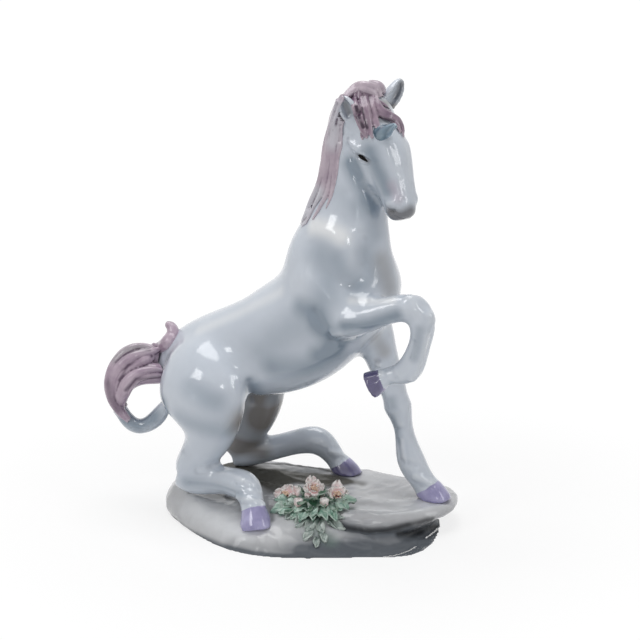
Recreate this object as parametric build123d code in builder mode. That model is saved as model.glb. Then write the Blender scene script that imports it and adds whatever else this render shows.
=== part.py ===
"""Porcelain unicorn foal rising from a rock, an assembly of luted castings, in millimetres.

X runs along the figure towards its head, Y away from the display front, Z up from the foot of the rock.
"""
import os

from build123d import *

os.makedirs("parts", exist_ok=True)

# Layout box of the animal, above the standing level of the rock
HORSE_LENGTH = 200.0
HORSE_DEPTH = 100.0
HORSE_HEIGHT = 234.0

# Rock, which is as wide and deep as the animal's stance needs
ROCK_LENGTH = 0.8 * HORSE_LENGTH
ROCK_DEPTH = 1.15 * HORSE_DEPTH
BASE_HEIGHT = 16.0
VENT_DIAMETER = 6.0
VENT_DEPTH = 8.0

# Body girths
TORSO_WIDTH = 54.0
TORSO_DEPTH = 58.0
NECK_WIDTH = 42.0
NECK_DEPTH = 54.0
HEAD_WIDTH = 30.0
HEAD_DEPTH = 32.0
EAR_WIDTH = 9.0
EAR_THICKNESS = 5.0
HORN_DIAMETER = 10.0

# Leg girths
THIGH_WIDTH = 34.0
THIGH_DEPTH = 51.0
FOREARM_WIDTH = 22.0
FOREARM_DEPTH = 25.0
CANNON_WIDTH = 14.0
CANNON_DEPTH = 15.0
HOOF_WIDTH = 14.5
HOOF_LENGTH = 18.0

# Hair girths
MANE_WIDTH = 12.0
MANE_DEPTH = 15.0
DOCK_DIAMETER = 9.0
TAIL_WIDTH = 14.0
TAIL_DEPTH = 18.0

# Flowers, each with a ring of thin cupped petals round a dome
FLOWER_DIAMETER = 15.0
PETAL_WIDTH = 7.0
PETAL_THICKNESS = 1.6
PETAL_COUNT = 5
PETAL_TILT = 28.0
FLOWER_CENTRE_DIAMETER = 5.0
LEAF_LENGTH = 15.0
LEAF_WIDTH = 8.0
LEAF_THICKNESS = 1.8
BUD_DIAMETER = 5.5
SPRAY_LENGTH = 38.0
SPRAY_DEPTH = 26.0

# Directions across each form, from its right side to its left side
BODY_ACROSS = (0.375, 0.927, 0)
NECK_ACROSS = (0.45, 0.893, 0)
HEAD_ACROSS = (0.707, 0.707, 0)
TAIL_ACROSS = (0.3, 0.954, 0)


def spot(shares):
    """A point from shares of the layout length and depth, and of its height above the rock."""
    along, deep, high = shares
    return Vector(along * HORSE_LENGTH, deep * HORSE_DEPTH, BASE_HEIGHT + high * HORSE_HEIGHT)


def section(place, heading, across, width, depth):
    """An ellipse set square to a heading, its width lying along the across direction."""
    heading = Vector(heading).normalized()
    side = Vector(across) - heading * Vector(across).dot(heading)
    with BuildSketch(Plane(place, x_dir=side, z_dir=heading)) as outline:
        Ellipse(width / 2, depth / 2)
    return outline.sketch


def form(stations, across, width, depth):
    """A loft through ellipses along stations, each a place with a width share and a depth share."""
    places = [spot(station[0]) for station in stations]
    sections = []
    for index, station in enumerate(stations):
        ahead = places[min(index + 1, len(places) - 1)]
        behind = places[max(index - 1, 0)]
        sections.append(section(places[index], ahead - behind, across, station[1] * width, station[2] * depth))
    loft(sections)


def trim(context, *others):
    """Cuts earlier castings out of the one being made and keeps its main solid."""
    for other in others:
        add(other.part, mode=Mode.SUBTRACT)
    add(context.solids().sort_by(SortBy.VOLUME)[-1], mode=Mode.REPLACE)


def save(context, name):
    """Labels a casting and writes its file."""
    context.part.label = name
    export_step(context.part, f"parts/{name}.step")


# Rock, lofted through rings that run from the right tip round the back
ROCK_FOOT_SHARES = [
    (0.44, -0.11), (0.40, 0.07), (0.29, 0.17), (0.17, 0.27), (0.03, 0.29), (-0.16, 0.40),
    (-0.34, 0.35), (-0.46, 0.22), (-0.495, 0.08), (-0.45, -0.09), (-0.37, -0.28), (-0.24, -0.46),
    (-0.04, -0.53), (0.17, -0.52), (0.34, -0.48), (0.42, -0.28),
]
ROCK_CREVICE_SHARES = [
    (0.445, -0.10), (0.43, 0.09), (0.31, 0.19), (0.18, 0.31), (0.03, 0.32), (-0.17, 0.44),
    (-0.35, 0.38), (-0.49, 0.24), (-0.505, 0.07), (-0.455, -0.10), (-0.36, -0.27), (-0.23, -0.42),
    (-0.04, -0.47), (0.13, -0.42), (0.29, -0.36), (0.39, -0.23),
]
ROCK_LEDGE_SHARES = [
    (0.49, -0.07), (0.45, 0.12), (0.32, 0.20), (0.19, 0.33), (0.04, 0.33), (-0.17, 0.455),
    (-0.35, 0.39), (-0.485, 0.23), (-0.49, 0.07), (-0.44, -0.09), (-0.35, -0.24), (-0.22, -0.37),
    (-0.04, -0.41), (0.13, -0.36), (0.31, -0.32), (0.45, -0.22),
]
ROCK_TOP_SHARES = [
    (0.465, -0.07), (0.43, 0.10), (0.305, 0.18), (0.18, 0.30), (0.04, 0.31), (-0.16, 0.43),
    (-0.33, 0.36), (-0.44, 0.21), (-0.45, 0.07), (-0.40, -0.07), (-0.31, -0.17), (-0.19, -0.25),
    (-0.03, -0.28), (0.13, -0.28), (0.29, -0.26), (0.42, -0.18),
]
ROCK_CREVICE_SHARE = 0.38
ROCK_LEDGE_SHARE = 0.66
VENT_PLACE_SHARES = (-0.16, 0.12)

with BuildPart() as rock_base:
    for ring_shares, level in [
        (ROCK_FOOT_SHARES, 0),
        (ROCK_CREVICE_SHARES, ROCK_CREVICE_SHARE * BASE_HEIGHT),
        (ROCK_LEDGE_SHARES, ROCK_LEDGE_SHARE * BASE_HEIGHT),
        (ROCK_TOP_SHARES, BASE_HEIGHT),
    ]:
        with BuildSketch(Plane.XY.offset(level)):
            with BuildLine():
                Spline([(x * ROCK_LENGTH, y * ROCK_DEPTH) for x, y in ring_shares], periodic=True)
            make_face()
    loft()
    vent_x, vent_y = VENT_PLACE_SHARES
    with BuildSketch(Plane.XY):
        with Locations((vent_x * ROCK_LENGTH, vent_y * ROCK_DEPTH)):
            Circle(VENT_DIAMETER / 2)
    extrude(amount=VENT_DEPTH, mode=Mode.SUBTRACT)
save(rock_base, "rock_base")

# Torso, from the dome of the rump to the breast
TORSO_SHARES = [
    ((-0.408, 0.260, 0.240), 0.14, 0.14),
    ((-0.388, 0.243, 0.258), 0.46, 0.46),
    ((-0.342, 0.206, 0.276), 0.72, 0.70),
    ((-0.275, 0.151, 0.304), 0.84, 0.82),
    ((-0.183, 0.077, 0.336), 0.90, 0.90),
    ((-0.087, 0.000, 0.372), 0.98, 1.02),
    ((0.002, -0.070, 0.430), 1.02, 1.06),
    ((0.082, -0.135, 0.503), 1.00, 1.00),
    ((0.146, -0.185, 0.562), 0.82, 0.82),
    ((0.182, -0.214, 0.594), 0.52, 0.52),
    ((0.200, -0.228, 0.610), 0.16, 0.16),
]
with BuildPart() as torso:
    form(TORSO_SHARES, BODY_ACROSS, TORSO_WIDTH, TORSO_DEPTH)
save(torso, "torso")

# Neck, from inside the shoulders to the poll
NECK_SHARES = [
    ((0.006, -0.09, 0.450), 1.08, 0.92),
    ((0.050, -0.125, 0.532), 1.14, 1.03),
    ((0.080, -0.145, 0.605), 1.04, 1.01),
    ((0.095, -0.15, 0.668), 0.88, 0.88),
    ((0.104, -0.15, 0.730), 0.74, 0.70),
    ((0.114, -0.15, 0.795), 0.63, 0.55),
    ((0.125, -0.15, 0.858), 0.57, 0.50),
    ((0.137, -0.15, 0.911), 0.48, 0.42),
    ((0.142, -0.15, 0.936), 0.24, 0.22),
]
with BuildPart() as neck:
    form(NECK_SHARES, NECK_ACROSS, NECK_WIDTH, NECK_DEPTH)
    trim(neck, torso)
save(neck, "neck")

# Head, from the poll to the muzzle
HEAD_SHARES = [
    ((0.148, -0.13, 0.950), 0.34, 0.28),
    ((0.164, -0.17, 0.908), 0.80, 0.66),
    ((0.174, -0.21, 0.866), 0.92, 0.86),
    ((0.203, -0.27, 0.804), 0.75, 0.80),
    ((0.220, -0.31, 0.762), 0.62, 0.62),
    ((0.230, -0.34, 0.731), 0.58, 0.54),
    ((0.235, -0.36, 0.712), 0.50, 0.44),
    ((0.238, -0.37, 0.700), 0.20, 0.18),
]
with BuildPart() as head:
    form(HEAD_SHARES, HEAD_ACROSS, HEAD_WIDTH, HEAD_DEPTH)
    trim(head, neck)
save(head, "head")

# Ears and the short horn
RIGHT_EAR_SHARES = [
    ((0.124, -0.200, 0.908), 0.90, 1.10),
    ((0.108, -0.222, 0.934), 0.95, 1.10),
    ((0.090, -0.236, 0.962), 0.22, 0.30),
]
LEFT_EAR_SHARES = [
    ((0.164, -0.095, 0.924), 0.95, 1.00),
    ((0.196, -0.065, 0.952), 1.20, 0.95),
    ((0.232, -0.038, 0.986), 0.24, 0.28),
]
HORN_SHARES = [
    ((0.156, -0.24, 0.870), 1.18, 1.18),
    ((0.184, -0.33, 0.896), 0.94, 0.94),
    ((0.216, -0.43, 0.921), 0.30, 0.30),
]
with BuildPart() as right_ear:
    form(RIGHT_EAR_SHARES, HEAD_ACROSS, EAR_WIDTH, EAR_THICKNESS)
    trim(right_ear, head, neck)
save(right_ear, "right_ear")

with BuildPart() as left_ear:
    form(LEFT_EAR_SHARES, (0.6, -0.3, -0.74), EAR_WIDTH, EAR_THICKNESS)
    trim(left_ear, head, neck)
save(left_ear, "left_ear")

with BuildPart() as horn:
    form(HORN_SHARES, HEAD_ACROSS, HORN_DIAMETER, HORN_DIAMETER)
    trim(horn, head, neck)
save(horn, "horn")


# Mane, from the tuft on the poll down the crest, and the forelock round the horn
POLL_TUFT_SHARES = [
    ((0.102, -0.143, 0.930), 0.46, 0.44),
    ((0.118, -0.143, 0.954), 0.96, 0.90),
    ((0.139, -0.143, 0.962), 1.08, 1.02),
    ((0.161, -0.140, 0.948), 0.92, 0.88),
    ((0.175, -0.140, 0.928), 0.46, 0.44),
]
RIGHT_FORELOCK_SHARES = [
    ((0.144, -0.185, 0.950), 0.80, 0.50),
    ((0.146, -0.245, 0.930), 0.90, 0.44),
    ((0.143, -0.285, 0.898), 0.78, 0.40),
    ((0.137, -0.300, 0.868), 0.30, 0.24),
]
LEFT_FORELOCK_SHARES = [
    ((0.164, -0.19, 0.946), 0.60, 0.48),
    ((0.194, -0.225, 0.930), 0.62, 0.40),
    ((0.220, -0.245, 0.902), 0.50, 0.36),
    ((0.228, -0.255, 0.872), 0.22, 0.20),
]
UPPER_MANE_SHARES = [
    ((0.098, -0.14, 0.950), 0.80, 0.70),
    ((0.084, -0.15, 0.905), 1.00, 1.00),
    ((0.070, -0.16, 0.850), 1.00, 0.95),
    ((0.058, -0.18, 0.800), 0.45, 0.50),
]
MIDDLE_MANE_SHARES = [
    ((0.066, -0.13, 0.850), 0.70, 0.70),
    ((0.053, -0.15, 0.800), 1.00, 1.00),
    ((0.045, -0.17, 0.750), 1.00, 0.95),
    ((0.032, -0.20, 0.705), 0.45, 0.45),
]
LOWER_MANE_SHARES = [
    ((0.034, -0.13, 0.755), 0.70, 0.70),
    ((0.024, -0.14, 0.712), 1.05, 1.00),
    ((0.006, -0.15, 0.670), 1.00, 0.95),
    ((-0.010, -0.17, 0.625), 0.40, 0.45),
]
with BuildPart() as poll_tuft:
    form(POLL_TUFT_SHARES, (0, 1, 0), MANE_WIDTH, MANE_DEPTH)
    trim(poll_tuft, head, neck, right_ear, left_ear)
save(poll_tuft, "poll_tuft")

with BuildPart() as right_forelock:
    form(RIGHT_FORELOCK_SHARES, HEAD_ACROSS, MANE_WIDTH, MANE_DEPTH)
    trim(right_forelock, head, neck, right_ear, left_ear, horn, poll_tuft)
save(right_forelock, "right_forelock")

with BuildPart() as left_forelock:
    form(LEFT_FORELOCK_SHARES, HEAD_ACROSS, MANE_WIDTH, MANE_DEPTH)
    trim(left_forelock, head, neck, right_ear, left_ear, horn, poll_tuft, right_forelock)
save(left_forelock, "left_forelock")

with BuildPart() as upper_mane:
    form(UPPER_MANE_SHARES, NECK_ACROSS, MANE_WIDTH, MANE_DEPTH)
    trim(upper_mane, head, neck, right_ear, poll_tuft)
save(upper_mane, "upper_mane")

with BuildPart() as middle_mane:
    form(MIDDLE_MANE_SHARES, NECK_ACROSS, MANE_WIDTH, MANE_DEPTH)
    trim(middle_mane, neck, upper_mane)
save(middle_mane, "middle_mane")

with BuildPart() as lower_mane:
    form(LOWER_MANE_SHARES, NECK_ACROSS, MANE_WIDTH, MANE_DEPTH)
    trim(lower_mane, neck, torso, middle_mane)
save(lower_mane, "lower_mane")

# Right hind leg, folded at the front of the display
RIGHT_THIGH_SHARES = [
    ((-0.290, 0.06, 0.350), 0.70, 0.62),
    ((-0.294, -0.07, 0.280), 1.00, 1.00),
    ((-0.285, -0.13, 0.212), 0.90, 0.84),
    ((-0.283, -0.12, 0.150), 0.64, 0.54),
    ((-0.313, -0.09, 0.099), 0.50, 0.39),
    ((-0.342, -0.07, 0.060), 0.44, 0.31),
]
RIGHT_HIND_CANNON_SHARES = [
    ((-0.366, -0.06, 0.054), 0.98, 0.98),
    ((-0.322, -0.08, 0.046), 1.24, 1.24),
    ((-0.270, -0.12, 0.048), 1.16, 1.16),
    ((-0.217, -0.20, 0.053), 1.04, 1.04),
    ((-0.180, -0.27, 0.051), 1.10, 1.10),
    ((-0.164, -0.32, 0.032), 0.94, 0.94),
    ((-0.156, -0.365, 0.010), 0.98, 0.98),
]
RIGHT_HIND_HOOF_SHARES = [
    ((-0.156, -0.365, 0.010), 0.95, 0.82),
    ((-0.153, -0.387, -0.006), 1.02, 0.92),
    ((-0.150, -0.42, -0.034), 1.10, 1.06),
]

# Left hind leg, folded at the back
LEFT_THIGH_SHARES = [
    ((-0.215, 0.20, 0.335), 0.72, 0.62),
    ((-0.198, 0.31, 0.268), 0.96, 0.92),
    ((-0.176, 0.345, 0.200), 0.86, 0.82),
    ((-0.182, 0.375, 0.125), 0.62, 0.60),
    ((-0.204, 0.40, 0.065), 0.46, 0.38),
    ((-0.222, 0.41, 0.032), 0.40, 0.28),
]
LEFT_HIND_CANNON_SHARES = [
    ((-0.225, 0.41, 0.026), 0.85, 0.85),
    ((-0.190, 0.40, 0.030), 0.98, 0.98),
    ((-0.120, 0.39, 0.046), 0.96, 0.98),
    ((-0.040, 0.365, 0.066), 0.94, 0.96),
    ((0.014, 0.335, 0.072), 1.04, 1.06),
    ((0.052, 0.315, 0.048), 0.86, 0.86),
    ((0.079, 0.296, 0.021), 0.90, 0.90),
]
LEFT_HIND_HOOF_SHARES = [
    ((0.079, 0.296, 0.021), 0.90, 0.78),
    ((0.088, 0.286, 0.007), 1.00, 0.92),
    ((0.098, 0.270, -0.014), 1.10, 1.10),
]

# Right foreleg, lifted and bent
RIGHT_FOREARM_SHARES = [
    ((0.000, -0.20, 0.530), 1.10, 1.20),
    ((0.050, -0.31, 0.478), 1.10, 1.12),
    ((0.098, -0.38, 0.474), 0.98, 0.92),
    ((0.150, -0.43, 0.488), 0.84, 0.74),
    ((0.212, -0.48, 0.507), 0.68, 0.60),
    ((0.258, -0.51, 0.517), 0.62, 0.56),
]
RIGHT_FORE_CANNON_SHARES = [
    ((0.236, -0.496, 0.513), 0.90, 0.88),
    ((0.268, -0.514, 0.512), 1.00, 0.97),
    ((0.286, -0.520, 0.486), 0.98, 0.94),
    ((0.288, -0.520, 0.454), 0.88, 0.84),
    ((0.279, -0.50, 0.416), 0.84, 0.80),
    ((0.262, -0.48, 0.374), 0.90, 0.92),
    ((0.222, -0.46, 0.350), 0.74, 0.72),
    ((0.186, -0.45, 0.337), 0.82, 0.84),
]
RIGHT_FORE_HOOF_SHARES = [
    ((0.186, -0.45, 0.337), 0.80, 0.70),
    ((0.170, -0.445, 0.330), 0.90, 0.76),
    ((0.150, -0.44, 0.321), 1.00, 0.84),
]

# Left foreleg, the standing one
LEFT_FOREARM_SHARES = [
    ((0.110, -0.08, 0.500), 1.20, 1.20),
    ((0.155, -0.06, 0.420), 1.00, 1.00),
    ((0.186, -0.06, 0.340), 0.80, 0.76),
    ((0.212, -0.065, 0.280), 0.70, 0.60),
    ((0.226, -0.07, 0.240), 0.68, 0.58),
]
LEFT_FORE_CANNON_SHARES = [
    ((0.226, -0.07, 0.240), 0.98, 0.92),
    ((0.243, -0.07, 0.188), 0.86, 0.80),
    ((0.255, -0.08, 0.138), 0.84, 0.78),
    ((0.269, -0.09, 0.092), 1.00, 1.02),
    ((0.290, -0.10, 0.056), 0.94, 0.96),
    ((0.314, -0.115, 0.027), 0.98, 1.02),
]
LEFT_FORE_HOOF_SHARES = [
    ((0.314, -0.115, 0.027), 0.95, 0.86),
    ((0.325, -0.125, 0.011), 1.06, 0.98),
    ((0.338, -0.14, -0.014), 1.16, 1.12),
]

with BuildPart() as right_thigh:
    form(RIGHT_THIGH_SHARES, BODY_ACROSS, THIGH_WIDTH, THIGH_DEPTH)
    trim(right_thigh, torso)
save(right_thigh, "right_thigh")

with BuildPart() as right_hind_cannon:
    form(RIGHT_HIND_CANNON_SHARES, BODY_ACROSS, CANNON_WIDTH, CANNON_DEPTH)
    trim(right_hind_cannon, right_thigh, rock_base)
save(right_hind_cannon, "right_hind_cannon")

with BuildPart() as right_hind_hoof:
    form(RIGHT_HIND_HOOF_SHARES, BODY_ACROSS, HOOF_WIDTH, HOOF_LENGTH)
    trim(right_hind_hoof, right_hind_cannon, rock_base)
save(right_hind_hoof, "right_hind_hoof")

with BuildPart() as left_thigh:
    form(LEFT_THIGH_SHARES, BODY_ACROSS, THIGH_WIDTH, THIGH_DEPTH)
    trim(left_thigh, torso, rock_base)
save(left_thigh, "left_thigh")

with BuildPart() as left_hind_cannon:
    form(LEFT_HIND_CANNON_SHARES, BODY_ACROSS, CANNON_WIDTH, CANNON_DEPTH)
    trim(left_hind_cannon, left_thigh, rock_base)
save(left_hind_cannon, "left_hind_cannon")

with BuildPart() as left_hind_hoof:
    form(LEFT_HIND_HOOF_SHARES, BODY_ACROSS, HOOF_WIDTH, HOOF_LENGTH)
    trim(left_hind_hoof, left_hind_cannon, rock_base)
save(left_hind_hoof, "left_hind_hoof")

with BuildPart() as right_forearm:
    form(RIGHT_FOREARM_SHARES, (0.1, 0.9, -0.4), FOREARM_WIDTH, FOREARM_DEPTH)
    trim(right_forearm, torso, neck)
save(right_forearm, "right_forearm")

with BuildPart() as right_fore_cannon:
    form(RIGHT_FORE_CANNON_SHARES, (0.3, 0.954, 0), CANNON_WIDTH, CANNON_DEPTH)
    trim(right_fore_cannon, right_forearm)
save(right_fore_cannon, "right_fore_cannon")

with BuildPart() as right_fore_hoof:
    form(RIGHT_FORE_HOOF_SHARES, BODY_ACROSS, HOOF_WIDTH, HOOF_LENGTH)
    trim(right_fore_hoof, right_fore_cannon)
save(right_fore_hoof, "right_fore_hoof")

with BuildPart() as left_forearm:
    form(LEFT_FOREARM_SHARES, BODY_ACROSS, FOREARM_WIDTH, FOREARM_DEPTH)
    trim(left_forearm, torso, neck, right_forearm)
save(left_forearm, "left_forearm")

with BuildPart() as left_fore_cannon:
    form(LEFT_FORE_CANNON_SHARES, BODY_ACROSS, CANNON_WIDTH, CANNON_DEPTH)
    trim(left_fore_cannon, left_forearm)
save(left_fore_cannon, "left_fore_cannon")

with BuildPart() as left_fore_hoof:
    form(LEFT_FORE_HOOF_SHARES, BODY_ACROSS, HOOF_WIDTH, HOOF_LENGTH)
    trim(left_fore_hoof, left_fore_cannon, rock_base)
save(left_fore_hoof, "left_fore_hoof")

# Tail, a bare dock that hooks up into three locks of hair
TAIL_DOCK_SHARES = [
    ((-0.380, 0.08, 0.225), 1.10, 1.10),
    ((-0.417, 0.06, 0.181), 1.00, 1.00),
    ((-0.447, 0.07, 0.156), 0.98, 0.98),
    ((-0.479, 0.08, 0.148), 0.94, 0.94),
    ((-0.510, 0.10, 0.163), 0.92, 0.92),
    ((-0.534, 0.12, 0.190), 0.98, 0.98),
]
OUTER_LOCK_SHARES = [
    ((-0.530, 0.12, 0.186), 0.55, 0.50),
    ((-0.538, 0.14, 0.225), 0.85, 0.70),
    ((-0.526, 0.15, 0.270), 1.00, 0.90),
    ((-0.496, 0.16, 0.303), 1.05, 0.95),
    ((-0.460, 0.17, 0.312), 0.95, 0.80),
    ((-0.425, 0.18, 0.296), 0.75, 0.60),
]
INNER_LOCK_SHARES = [
    ((-0.524, 0.10, 0.205), 0.40, 0.35),
    ((-0.513, 0.10, 0.238), 0.70, 0.50),
    ((-0.478, 0.10, 0.268), 0.90, 0.70),
    ((-0.430, 0.11, 0.274), 0.90, 0.75),
    ((-0.390, 0.12, 0.270), 0.60, 0.50),
]
CURL_LOCK_SHARES = [
    ((-0.440, 0.19, 0.315), 0.60, 0.50),
    ((-0.405, 0.20, 0.328), 0.65, 0.50),
    ((-0.380, 0.20, 0.350), 0.55, 0.45),
    ((-0.385, 0.20, 0.376), 0.40, 0.34),
    ((-0.402, 0.20, 0.386), 0.12, 0.12),
]
with BuildPart() as tail_dock:
    form(TAIL_DOCK_SHARES, TAIL_ACROSS, DOCK_DIAMETER, DOCK_DIAMETER)
    trim(tail_dock, torso, right_thigh)
save(tail_dock, "tail_dock")

with BuildPart() as outer_tail_lock:
    form(OUTER_LOCK_SHARES, TAIL_ACROSS, TAIL_WIDTH, TAIL_DEPTH)
    trim(outer_tail_lock, tail_dock, torso, right_thigh)
save(outer_tail_lock, "outer_tail_lock")

with BuildPart() as inner_tail_lock:
    form(INNER_LOCK_SHARES, TAIL_ACROSS, TAIL_WIDTH, TAIL_DEPTH)
    trim(inner_tail_lock, outer_tail_lock, tail_dock, torso, right_thigh)
save(inner_tail_lock, "inner_tail_lock")

with BuildPart() as curl_tail_lock:
    form(CURL_LOCK_SHARES, TAIL_ACROSS, TAIL_WIDTH, TAIL_DEPTH)
    trim(curl_tail_lock, outer_tail_lock, inner_tail_lock, torso, right_thigh)
save(curl_tail_lock, "curl_tail_lock")


# Flower spray on the front slope, a bed of stalks that carries blossoms, leaves and buds
FLOWER_BED_SHARES = [
    ((0.000, -0.26, -0.045), 1.00, 1.00),
    ((0.000, -0.25, -0.003), 0.98, 0.94),
    ((0.000, -0.24, 0.018), 0.78, 0.70),
    ((0.000, -0.24, 0.028), 0.38, 0.32),
]
BLOSSOMS = [
    ("left", (-0.066, -0.22, 0.026), (-0.35, -0.55, 0.76)),
    ("middle", (0.004, -0.19, 0.036), (0.05, -0.60, 0.80)),
    ("right", (0.066, -0.22, 0.026), (0.35, -0.55, 0.76)),
]
PETAL_REACH_SHARE = 0.29
PETAL_LENGTH_SHARE = 0.53
LEAVES = [
    ("far_left", (-0.066, -0.25, 0.010), (-0.80, -0.58, -0.18)),
    ("left", (-0.050, -0.29, 0.008), (-0.52, -0.80, -0.30)),
    ("middle_left", (-0.020, -0.32, 0.008), (-0.14, -0.92, -0.36)),
    ("middle_right", (0.014, -0.32, 0.008), (0.20, -0.91, -0.36)),
    ("right", (0.046, -0.29, 0.008), (0.56, -0.77, -0.30)),
    ("far_right", (0.066, -0.25, 0.010), (0.84, -0.50, -0.20)),
]
LEAF_FACING = (0, -0.45, 0.893)
BUDS = [
    ("left", (-0.036, -0.325, 0.015)),
    ("right", (0.032, -0.325, 0.015)),
]


def petals(centre, facing):
    """A ring of thin petals, each tilted up from the flower's own plane."""
    flower = Plane(centre, z_dir=facing)
    for turn in range(PETAL_COUNT):
        spin = Location((0, 0, 0), (0, 0, turn * 360 / PETAL_COUNT))
        reach = Location((PETAL_REACH_SHARE * FLOWER_DIAMETER, 0, 0), (0, -PETAL_TILT, 0))
        with BuildSketch(flower * spin * reach) as outline:
            Ellipse(PETAL_LENGTH_SHARE * FLOWER_DIAMETER / 2, PETAL_WIDTH / 2)
        extrude(outline.sketch, amount=PETAL_THICKNESS)


def leaf(root, heading, facing):
    """A thin pointed leaf that runs from its root along a heading."""
    along = Vector(heading).normalized()
    up = Vector(facing) - along * Vector(facing).dot(along)
    with BuildSketch(Plane(root, x_dir=along, z_dir=up)) as outline:
        with BuildLine():
            ThreePointArc((0, 0), (LEAF_LENGTH / 2, LEAF_WIDTH / 2), (LEAF_LENGTH, 0))
            ThreePointArc((LEAF_LENGTH, 0), (LEAF_LENGTH / 2, -LEAF_WIDTH / 2), (0, 0))
        make_face()
    extrude(outline.sketch, amount=LEAF_THICKNESS)


with BuildPart() as flower_bed:
    form(FLOWER_BED_SHARES, (1, 0, 0), SPRAY_LENGTH, SPRAY_DEPTH)
    trim(flower_bed, rock_base, right_hind_hoof)
save(flower_bed, "flower_bed")

placed = [flower_bed]
for name, place, facing in BLOSSOMS:
    with BuildPart() as blossom:
        petals(spot(place), facing)
        trim(blossom, rock_base, right_hind_hoof, *placed)
    save(blossom, f"{name}_flower_petals")
    placed.append(blossom)
    with BuildPart() as flower_centre:
        with Locations(spot(place) + Vector(facing).normalized() * PETAL_THICKNESS):
            Sphere(FLOWER_CENTRE_DIAMETER / 2)
        trim(flower_centre, rock_base, *placed)
    save(flower_centre, f"{name}_flower_centre")
    placed.append(flower_centre)

for name, place, heading in LEAVES:
    with BuildPart() as foliage:
        leaf(spot(place), heading, LEAF_FACING)
        trim(foliage, rock_base, right_hind_hoof, *placed)
    save(foliage, f"{name}_leaf")
    placed.append(foliage)

for name, place in BUDS:
    with BuildPart() as bud:
        with Locations(spot(place)):
            Sphere(BUD_DIAMETER / 2)
        trim(bud, rock_base, *placed)
    save(bud, f"{name}_bud")
    placed.append(bud)
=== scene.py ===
"""Looks of a porcelain unicorn on a rock: one glazed skin over the castings, sculpted hair, rock and flowers.

Everything is in metres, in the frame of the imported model. Pixels are those of the 640 by 640 photograph.
"""
import math

import bmesh
import bpy
import numpy as np
from mathutils import Matrix, Vector, noise
from mathutils.bvhtree import BVHTree
from mathutils.kdtree import KDTree


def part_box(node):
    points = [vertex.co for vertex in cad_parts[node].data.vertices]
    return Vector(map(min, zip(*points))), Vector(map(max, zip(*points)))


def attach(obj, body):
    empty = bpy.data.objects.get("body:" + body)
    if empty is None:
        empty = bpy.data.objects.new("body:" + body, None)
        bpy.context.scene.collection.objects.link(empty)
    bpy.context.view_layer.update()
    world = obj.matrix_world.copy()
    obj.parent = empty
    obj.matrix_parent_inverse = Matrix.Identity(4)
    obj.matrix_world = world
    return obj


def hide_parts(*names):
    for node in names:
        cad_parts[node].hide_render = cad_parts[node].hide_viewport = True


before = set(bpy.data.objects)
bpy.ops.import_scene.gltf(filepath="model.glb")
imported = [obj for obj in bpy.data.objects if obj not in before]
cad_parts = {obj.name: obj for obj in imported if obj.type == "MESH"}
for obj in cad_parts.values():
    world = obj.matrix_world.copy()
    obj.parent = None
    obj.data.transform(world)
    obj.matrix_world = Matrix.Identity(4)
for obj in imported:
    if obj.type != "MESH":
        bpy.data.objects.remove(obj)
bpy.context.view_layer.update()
BODY = "root"
MM = 0.001

# Camera of the photograph
ELEVATION = math.radians(17)
CAMERA_DISTANCE = 1500 * MM
TARGET = Vector((4.3 * MM, 0, 114 * MM))
FRAME_PIXELS = 640
PIXELS_PER_METRE = 1850
SENSOR_MM = 36
LOOK = Vector((0, math.cos(ELEVATION), -math.sin(ELEVATION)))
RIGHT = Vector((1, 0, 0))
UP = Vector((0, math.sin(ELEVATION), math.cos(ELEVATION)))
EYE_POINT = TARGET - LOOK * CAMERA_DISTANCE


def ray(px, py):
    """Direction from the camera through a pixel of the photograph."""
    middle = FRAME_PIXELS / 2
    across = RIGHT * ((px - middle) / PIXELS_PER_METRE)
    rise = UP * ((middle - py) / PIXELS_PER_METRE)
    return (LOOK * CAMERA_DISTANCE + across + rise).normalized()


def add_camera():
    """Puts the camera where the photograph was taken from."""
    data = bpy.data.cameras.new("photo_camera")
    data.sensor_width = SENSOR_MM
    data.lens = SENSOR_MM * CAMERA_DISTANCE * PIXELS_PER_METRE / FRAME_PIXELS
    data.clip_end = 20 * CAMERA_DISTANCE
    camera = bpy.data.objects.new("photo_camera", data)
    camera.location = EYE_POINT
    camera.rotation_euler = LOOK.to_track_quat("-Z", "Y").to_euler()
    bpy.context.collection.objects.link(camera)
    bpy.context.scene.camera = camera


# Mesh helpers

WELD = 0.001 * MM


def show(name, mesh, material, slot, *nodes):
    """Links a mesh as a smooth shown piece that stands for CAD nodes."""
    mesh.materials.append(material)
    mesh.polygons.foreach_set("use_smooth", [True] * len(mesh.polygons))
    piece = bpy.data.objects.new(name, mesh)
    bpy.context.collection.objects.link(piece)
    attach(piece, BODY)
    if nodes:
        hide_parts(*nodes)
    return piece


def meshed(name, source):
    """Turns a bmesh into a mesh with outward faces."""
    bmesh.ops.recalc_face_normals(source, faces=source.faces)
    mesh = bpy.data.meshes.new(name)
    source.to_mesh(mesh)
    source.free()
    return mesh


def joined_copy(nodes, swell):
    """A bmesh of welded copies of CAD nodes, each swollen a little so that neighbours run into each other."""
    whole = bmesh.new()
    for node in nodes:
        part = bmesh.new()
        part.from_mesh(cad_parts[node].data)
        bmesh.ops.remove_doubles(part, verts=part.verts, dist=WELD)
        bmesh.ops.recalc_face_normals(part, faces=part.faces)
        part.normal_update()
        for vert in part.verts:
            vert.co += vert.normal * swell
        mesh = bpy.data.meshes.new(node + "_copy")
        part.to_mesh(mesh)
        part.free()
        whole.from_mesh(mesh)
        bpy.data.meshes.remove(mesh)
    return whole


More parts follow.
